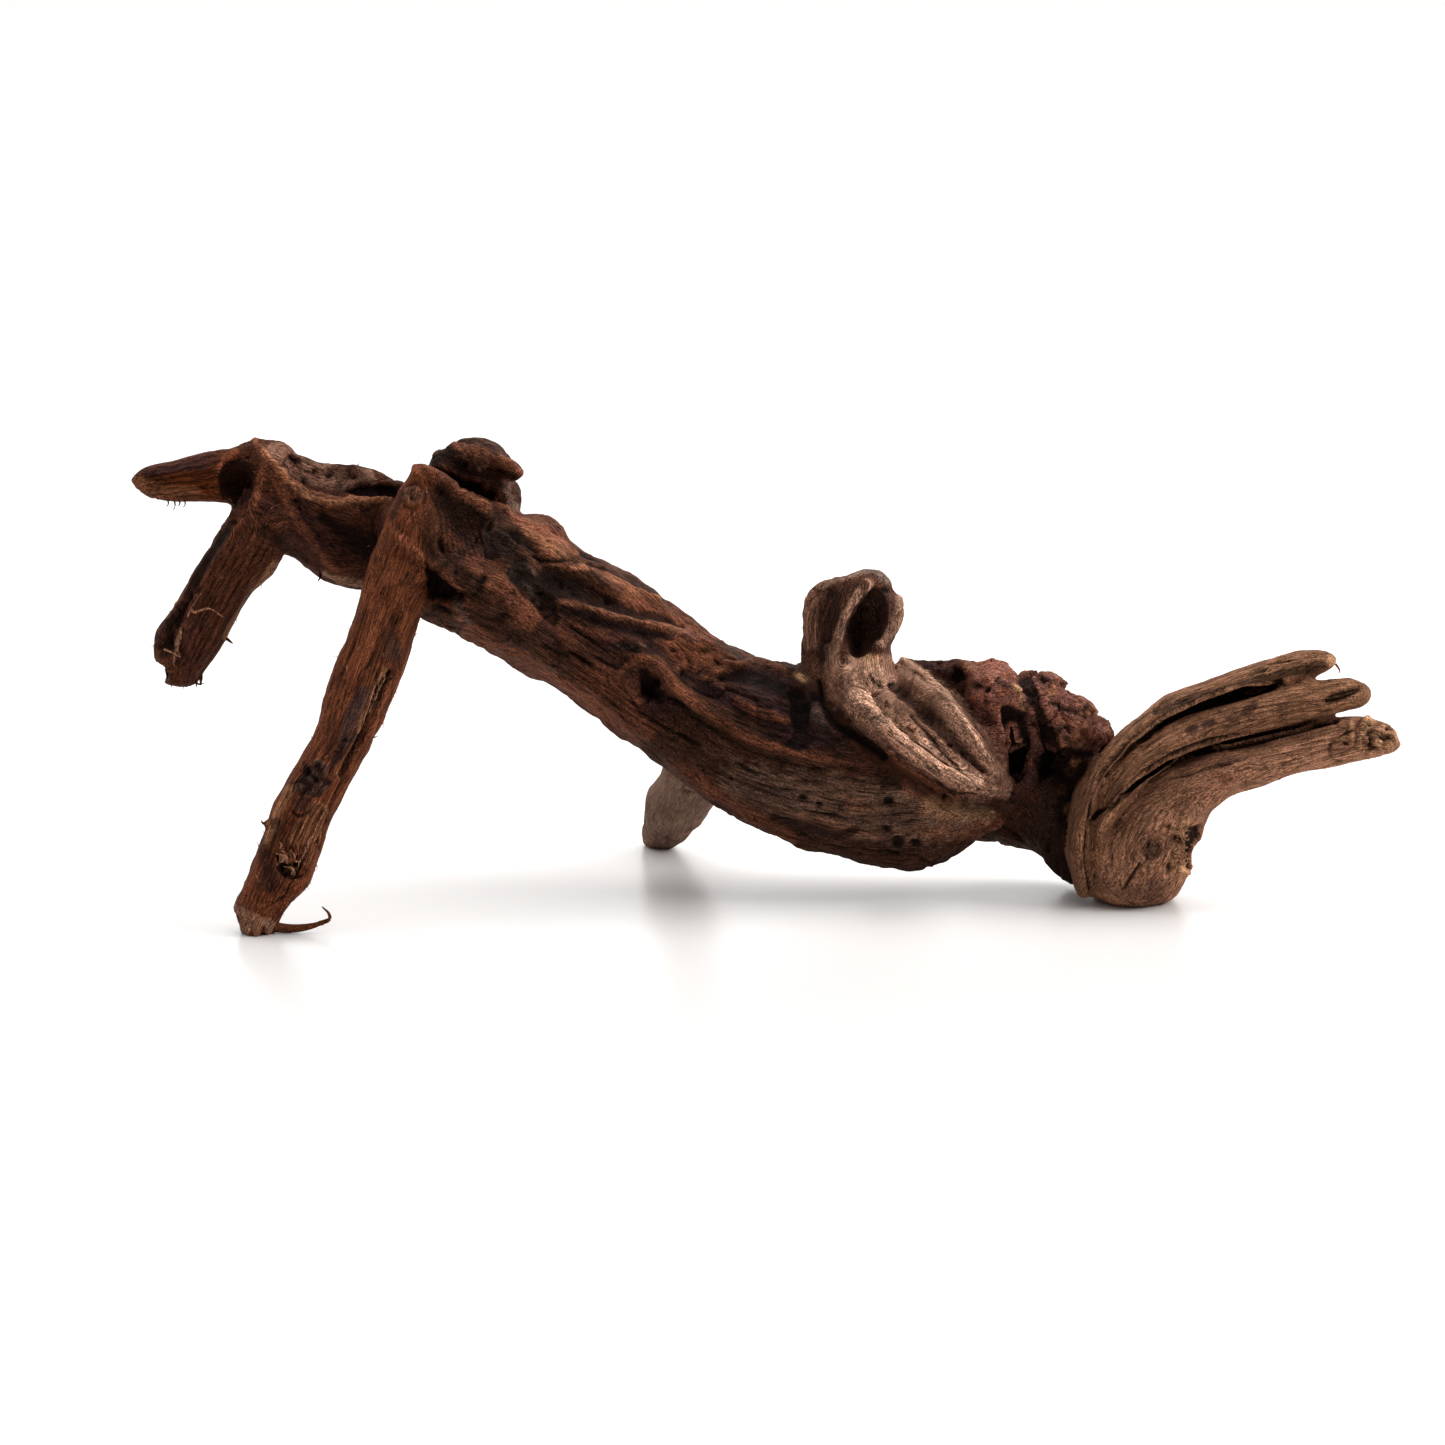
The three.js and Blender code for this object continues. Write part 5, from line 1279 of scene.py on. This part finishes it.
# Materials.
SLOTS = {
    "dark_wood": {"streaks": 1.1, "length": 9, "grit": 0.9, "pores": 0.6, "cracks": 0.6, "roughness": 0.7},
    "red_wood": {"streaks": 1.2, "length": 40, "grit": 0.6, "pores": 0.5, "cracks": 0.85, "roughness": 0.72},
    "tan_wood": {"streaks": 1.0, "length": 14, "grit": 0.7, "pores": 0.5, "cracks": 0.75, "roughness": 0.76},
    "grey_wood": {"streaks": 0.4, "length": 9, "grit": 0.3, "pores": 0.3, "cracks": 0.3, "roughness": 0.8},
}


class Graph:
    """Short calls that add and link shader nodes."""

    def __init__(self, name):
        self.material = bpy.data.materials.new(name)
        self.material.use_nodes = True
        self.tree = self.material.node_tree
        self.tree.nodes.clear()

    def node(self, kind, **values):
        made = self.tree.nodes.new(kind)
        for key, value in values.items():
            setattr(made, key, value)
        return made

    def link(self, out, into):
        self.tree.links.new(out, into)

    def attribute(self, name):
        return self.node("ShaderNodeAttribute", attribute_name=name, attribute_type="GEOMETRY")

    def streaks(self, grain, scale, detail=3.0, warp=0.0):
        """Noise on the straightened grain, in features of 1 / scale mm."""
        mapping = self.node("ShaderNodeMapping")
        mapping.inputs["Scale"].default_value = scale
        self.link(grain, mapping.inputs["Vector"])
        texture = self.node("ShaderNodeTexNoise")
        texture.inputs["Scale"].default_value = 1.0
        texture.inputs["Detail"].default_value = detail
        texture.inputs["Roughness"].default_value = 0.6
        texture.inputs["Distortion"].default_value = warp
        self.link(mapping.outputs[0], texture.inputs["Vector"])
        return texture.outputs["Fac"]

    def ranged(self, value, low, high, to_low, to_high):
        made = self.node("ShaderNodeMapRange", interpolation_type="SMOOTHSTEP")
        for i, number in enumerate((low, high, to_low, to_high), 1):
            made.inputs[i].default_value = number
        self.link(value, made.inputs[0])
        return made.outputs[0]

    def math(self, operation, *values):
        made = self.node("ShaderNodeMath", operation=operation)
        for i, value in enumerate(values):
            if isinstance(value, (int, float)):
                made.inputs[i].default_value = value
            else:
                self.link(value, made.inputs[i])
        return made.outputs[0]

    def surfaced(self, surface):
        """The material, with a shader linked to it as its surface."""
        out = self.node("ShaderNodeOutputMaterial")
        self.link(surface.outputs[0], out.inputs["Surface"])
        return self.material

    def hairline(self, value, width):
        """1 on thin lines where a noise passes through its middle value."""
        away = self.math("ABSOLUTE", self.math("SUBTRACT", value, 0.5))
        return self.ranged(away, 0.0, width, 1.0, 0.0)


def wood_material(name, streaks, length, grit, pores, cracks, roughness):
    """Wood whose fine streaks are about length mm long. The other numbers are how strong each marking is."""
    g = Graph(name)
    tint = g.attribute("tint")
    grain = g.attribute("grain").outputs["Vector"]
    fine = g.streaks(grain, (3.0, 3.0, 1.0 / length), 4.0)
    sand = g.streaks(grain, (3.2, 3.2, 1.6), 4.0)
    speck = g.streaks(grain, (1.7, 1.7, 0.6), 2.0)
    lines = g.hairline(g.streaks(grain, (0.8, 0.8, 0.05), 2.0, 0.6), 0.024)
    some = g.ranged(g.streaks(grain, (0.12, 0.12, 0.05), 2.0), 0.4, 0.6, 0.15, 1.0)
    line = g.math("MULTIPLY", lines, some)
    bright = g.ranged(fine, 0.3, 0.7, 1 - 0.6 * streaks, 1 + 0.75 * streaks)
    sandy = g.ranged(sand, 0.3, 0.7, 1 - 0.8 * grit, 1 + grit)
    dots = g.ranged(speck, 0.3, 0.42, 1 - pores, 1.0)
    shade = g.math("MULTIPLY", g.math("MULTIPLY", bright, sandy), dots)
    shade = g.math("MULTIPLY", shade, g.math("SUBTRACT", 1.0, g.math("MULTIPLY", line, cracks)))
    colour = g.node("ShaderNodeVectorMath", operation="SCALE")
    g.link(tint.outputs["Color"], colour.inputs[0])
    g.link(shade, colour.inputs["Scale"])
    surface = g.node("ShaderNodeBsdfPrincipled")
    g.link(colour.outputs[0], surface.inputs["Base Color"])
    g.link(g.ranged(fine, 0.3, 0.7, roughness + 0.12, roughness - 0.12), surface.inputs["Roughness"])
    surface.inputs["Specular IOR Level"].default_value = 0.07
    surface.inputs["Specular Tint"].default_value = (1.0, 0.82, 0.7, 1.0)
    bump = g.node("ShaderNodeBump")
    bump.inputs["Strength"].default_value = 1.0
    bump.inputs["Distance"].default_value = 0.45 * MM
    height = g.math("ADD", g.math("MULTIPLY", g.math("ADD", fine, sand), 0.8), g.math("MULTIPLY", dots, 0.6))
    g.link(g.math("SUBTRACT", height, g.math("MULTIPLY", line, 0.8)), bump.inputs["Height"])
    g.link(bump.outputs[0], surface.inputs["Normal"])
    return g.surfaced(surface)


# Pieces.
SLOT_OF = {
    "trunk": "dark_wood",
    "front_leg": "red_wood",
    "rear_leg": "grey_wood",
    "left_arm": "red_wood",
    "left_stub": "red_wood",
    "hanging_branch": "red_wood",
    "curl": "dark_wood",
    "foot": "tan_wood",
    "upper_finger": "tan_wood",
    "middle_finger": "tan_wood",
}
ROWS = ("points", "normals", "tint", "grain")


def joined(parts):
    """Several meshes' rows and faces as one."""
    whole = {key: np.vstack([part[key] for part in parts]) for key in ROWS}
    whole["faces"] = []
    start = 0
    for part in parts:
        whole["faces"] += [[corner + start for corner in face] for face in part["faces"]]
        start += len(part["points"])
    return whole


def make_piece(name, node, part, material):
    """A piece of the wood, which rides the root and stands in for a node."""
    mesh = bpy.data.meshes.new(name)
    mesh.from_pydata((part["points"] * MM).tolist(), [], part["faces"])
    mesh.polygons.foreach_set("use_smooth", np.ones(len(mesh.polygons), bool))
    colour = mesh.attributes.new("tint", "FLOAT_COLOR", "POINT")
    opaque = np.hstack([part["tint"], np.ones((len(part["tint"]), 1))])
    colour.data.foreach_set("color", opaque.astype(np.float32).ravel())
    flow = mesh.attributes.new("grain", "FLOAT_VECTOR", "POINT")
    flow.data.foreach_set("vector", part["grain"].astype(np.float32).ravel())
    mesh.materials.append(material)
    mesh.normals_split_custom_set_from_vertices(part["normals"].tolist())
    piece = new_object("wood_" + name, mesh)
    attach(piece, "root")
    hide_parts(node)


def open_loops(faces):
    """Chains of vertices around each opening of a piece."""
    ends = np.vstack([faces[:, [i, (i + 1) % 4]] for i in range(4)]).tolist()
    twins = {(b, a) for a, b in ends}
    after = {a: b for a, b in ends if (a, b) not in twins}
    loops = []
    while after:
        start, here = after.popitem()
        loop = [start]
        while here in after and here != start:
            loop.append(here)
            here = after.pop(here)
        loops.append(loop)
    return loops


def is_buried(skin, edge, hub):
    """Whether the line from an edge to a hub runs inside the wood."""
    for share in (0.12, 0.3, 0.6):
        spot = edge + (hub - edge) * share
        nearest = skin["tree"].find(spot)[1]
        if (spot - skin["points"][nearest]) @ skin["normals"][nearest] > 0:
            return False
    return True


def tree_of(points):
    """A tree that finds the point nearest to a place."""
    tree = KDTree(len(points))
    for number, place in enumerate(points.tolist()):
        tree.insert(place, number)
    tree.balance()
    return tree


def cut_out(skin, chosen):
    """Some of the skin's faces as a piece, closed inside the wood where it was cut from another limb."""
    used, own = np.unique(skin["faces"][chosen], return_inverse=True)
    own = own.reshape(-1, 4)
    part = {key: skin[key][used] for key in ROWS}
    part["faces"] = own.tolist()
    for loop in open_loops(own):
        rim = part["points"][loop]
        if np.abs(rim[:, :1] - TRUNK_CUTS).min(1).max() < 2 * VOXEL:
            continue
        hub = len(part["points"])
        for key in ROWS:
            part[key] = np.vstack([part[key], part[key][loop].mean(0)])
        for i, corner in enumerate(loop):
            after = (i + 1) % len(loop)
            if is_buried(skin, 0.5 * (rim[i] + rim[after]), part["points"][hub]):
                part["faces"].append([loop[after], corner, hub])
    return part


# Where the skin keeps its sharp edges, as lines through [x, z, reach].
SHARP_ZONES = {
    "upper split": [[98, 14, 3], [100, 28, 3], [108, 42, 4], [122, 53, 5], [140, 60, 5], [157, 64, 4]],
    "lower split": [[100, 20, 3], [108, 29, 3], [120, 37, 4], [137, 43, 5], [155, 48, 4], [172, 53, 3]],
    "curl's hollow": [[33, 92, 7], [31, 78, 6]],
    "foot's torn hole": [[131, 16, 3], [130, 8, 4]],
    "hollow at the stub": [[-157, 123, 7], [-156, 122, 7]],
    "branch's end": [[-184, 68, 5], [-176, 66, 5]],
    "gap behind the crest": [[-104, 129, 3], [-98, 126, 2.6], [-90, 121, 2.4]],
    "front leg's sole": [[-161, -4, 4], [-157, -11, 4], [-149, -13, 4]],
}


def near_slits(place):
    """1 where the splits, clefts and hollows keep their sharp edges, 0 elsewhere."""
    sharp = np.zeros(len(place))
    for zone in SHARP_ZONES.values():
        for x, z, reach in smooth_path(zone, 6):
            gap = np.hypot(place[:, 0] - x, place[:, 1] - z)
            sharp = np.maximum(sharp, 1 - step(0.6 * reach, reach, gap))
    return sharp


def softened(points, web, sharp):
    """The faceted limbs drawn smooth, without thinning them."""
    share = PULL * (1 - sharp + SLIT_SHARE * sharp)[:, None]
    soft = web.smooth(points, SMOOTHED_OVER, share)
    return soft + web.smooth(points - soft, SMOOTHED_OVER, share)


def healed(points, faces):
    """The corner between the crest and the front leg, drawn as one surface."""
    gap = (flat_view(points) - CORNER) / CORNER_REACH
    zone = (1 - step(0.65, 1.0, np.hypot(gap[:, 0], gap[:, 1]))) * (points[:, 1] < 0)
    near = np.flatnonzero(zone > 0)
    inside = faces[np.isin(faces, near).all(1)]
    web = Web(np.searchsorted(near, inside), len(near))
    points[near] = web.smooth(points[near], HEALED_OVER, PULL * zone[near, None])
    return points


def skin_of_wood():
    """The whole skin with its colours and grain, and the fibres laid on it."""
    points, faces = remeshed(joined_limbs())
    web = Web(faces, len(points))
    label = node_of_each(points)
    sharp = near_slits(flat_view(points))
    points = healed(softened(points, web, sharp), faces)
    carving = Carving(points, normals_of(points, faces), label)
    for carve in CARVERS:
        carve(carving)
    carve_back(carving)
    grain, flow = grain_of(points)
    low_relief, hollow = relief(points, grain, label, carving.place)
    rise = carving.rise + low_relief * (1 - 0.6 * sharp)
    guide = unit(web.smooth(carving.normals, 1.3))
    points = points + guide * rise[:, None]
    torn = step(0.05, 0.45, marking(grain, "torn end")) * (label == NAMES.index("front_leg"))
    points[:, 2] += 3.2 * torn * np.clip(1 - points[:, 2] / 6, 0, 1)
    points[:, 2] = np.maximum(points[:, 2], 0)
    normals = normals_of(points, faces)
    # Hollows of the skin are painted darker as their shade, on top of the shade painted into the relief's
    # cracks and pits.
    cup = ((web.smooth(points, 3) - points) * normals).sum(1)
    hollow = np.clip(0.5 * hollow + 0.6 * step(0.08, 0.6, cup), 0, 1)
    tint = tint_of(points, grain, label, carving.place, carving.masks, hollow, web)
    # Ridges of the skin are painted lighter as their highlight.
    tint = tint * (1 + 0.3 * step(0.03, 0.4, -cup))[:, None]
    fibres = Fibres(points, normals, flow, carving)
    lay_fibres(fibres)
    skin = {"points": points, "faces": faces, "normals": normals, "tint": tint, "grain": grain}
    skin["tree"] = tree_of(points)
    corners = label[faces]
    face_label = np.where(corners[:, 1] == corners[:, 2], corners[:, 1], corners[:, 0])
    return skin, face_label, fibres.made


def build_wood():
    """The pieces of the wood, one for each node and four for the trunk."""
    skin, face_label, fibres = skin_of_wood()
    materials = {name: wood_material(name, **values) for name, values in SLOTS.items()}
    band = np.digitize(skin["points"][skin["faces"][:, 0], 0], TRUNK_CUTS)
    for number, node in enumerate(NAMES):
        own = face_label == number
        if node == "trunk":
            parts = {f"trunk_{place}": cut_out(skin, own & (band == i)) for i,
                     place in enumerate(TRUNK_PLACES)}
        else:
            parts = {node: cut_out(skin, own)}
        for name, part in parts.items():
            make_piece(name, node, joined([part, *fibres[node]]), materials[SLOT_OF[node]])


# The table, the light and the camera. These sizes are in metres, and the lights' power is in watts.
TABLE_HALF = 6.0
TABLE_COLOUR = (1.0, 0.975, 0.955)
# A pool of light painted into the table's colour below the belly: where it centres, where it fades, and the
# table's shades there and further away.
TABLE_LIGHT_POOL_AT = (0.045, 0, 0)
TABLE_LIGHT_POOL_REACH = (0.01, 0.13)
TABLE_LIGHT_POOL_SHADES = (0.86, 0.72)
ROOM_COLOUR = (1.0, 0.995, 0.99, 1)
ROOM_TURNS = (-0.4, 0.7)
ROOM_STRENGTHS = (0.28, 1.7)
LIGHTS = {
    "overhead": {"place": (0.2, 0.3, 1.9), "aim": (0, 0, 0), "size": (2.6, 2.2), "power": 32},
    "right": {"place": (1.7, 0.1, 1.15), "aim": (0.0, 0.0, 0.03), "size": (1.6, 1.2), "power": 34},
}


def table_material():
    """A pale surface with a pool of light painted below the belly, where the light comes back from the wood,
    and painted darker further from it.
    """
    g = Graph("table")
    surface = g.node("ShaderNodeBsdfPrincipled")
    away = g.node("ShaderNodeVectorMath", operation="DISTANCE")
    away.inputs[1].default_value = TABLE_LIGHT_POOL_AT
    g.link(g.node("ShaderNodeTexCoord").outputs["Object"], away.inputs[0])
    light_pool = g.node("ShaderNodeVectorMath", operation="SCALE")
    light_pool.inputs[0].default_value = TABLE_COLOUR
    g.link(g.ranged(away.outputs["Value"], *TABLE_LIGHT_POOL_REACH, *TABLE_LIGHT_POOL_SHADES), light_pool.inputs["Scale"])
    g.link(light_pool.outputs[0], surface.inputs["Base Color"])
    surface.inputs["Roughness"].default_value = 0.3
    surface.inputs["IOR"].default_value = 1.45
    return g.surfaced(surface)


def build_table():
    """The table that the wood stands on."""
    mesh = bpy.data.meshes.new("table")
    corners = [(x * TABLE_HALF, y * TABLE_HALF, 0) for x, y in ((-1, -1), (1, -1), (1, 1), (-1, 1))]
    mesh.from_pydata(corners, [], [(0, 1, 2, 3)])
    mesh.materials.append(table_material())
    table = new_object("table", mesh)


def add_light(name, place, aim, size, power):
    """A flat light that faces a point."""
    light = bpy.data.lights.new(name, "AREA")
    light.shape = "RECTANGLE"
    light.size, light.size_y = size
    light.energy = power
    lamp = new_object(name, light)
    lamp.location = place
    lamp.rotation_euler = (Vector(aim) - Vector(place)).to_track_quat("-Z", "Y").to_euler()


def build_room():
    """A bright wall behind the wood and a dim room before it."""
    world = bpy.data.worlds.new("room")
    bpy.context.scene.world = world
    world.use_nodes = True
    tree = world.node_tree
    background = tree.nodes["Background"]
    background.inputs["Color"].default_value = ROOM_COLOUR
    direction = tree.nodes.new("ShaderNodeTexCoord")
    parts = tree.nodes.new("ShaderNodeSeparateXYZ")
    ramp = tree.nodes.new("ShaderNodeMapRange")
    for i, number in enumerate(ROOM_TURNS + ROOM_STRENGTHS, 1):
        ramp.inputs[i].default_value = number
    tree.links.new(direction.outputs["Generated"], parts.inputs[0])
    tree.links.new(parts.outputs["Y"], ramp.inputs[0])
    tree.links.new(ramp.outputs[0], background.inputs["Strength"])


def build_light():
    """The room and the lights in it."""
    build_room()
    for name, values in LIGHTS.items():
        add_light(name, **values)


def build_camera():
    """The photo's camera."""
    camera = bpy.data.cameras.new("camera")
    camera.sensor_width = SENSOR
    camera.lens = SENSOR * DISTANCE / FIELD_WIDTH
    holder = new_object("camera", camera)
    holder.location = EYE * MM
    holder.rotation_euler = (math.pi / 2 - TILT, 0, 0)
    bpy.context.scene.camera = holder


bpy.context.scene.view_settings.view_transform = "Standard"
build_camera()
build_wood()
build_table()
build_light()
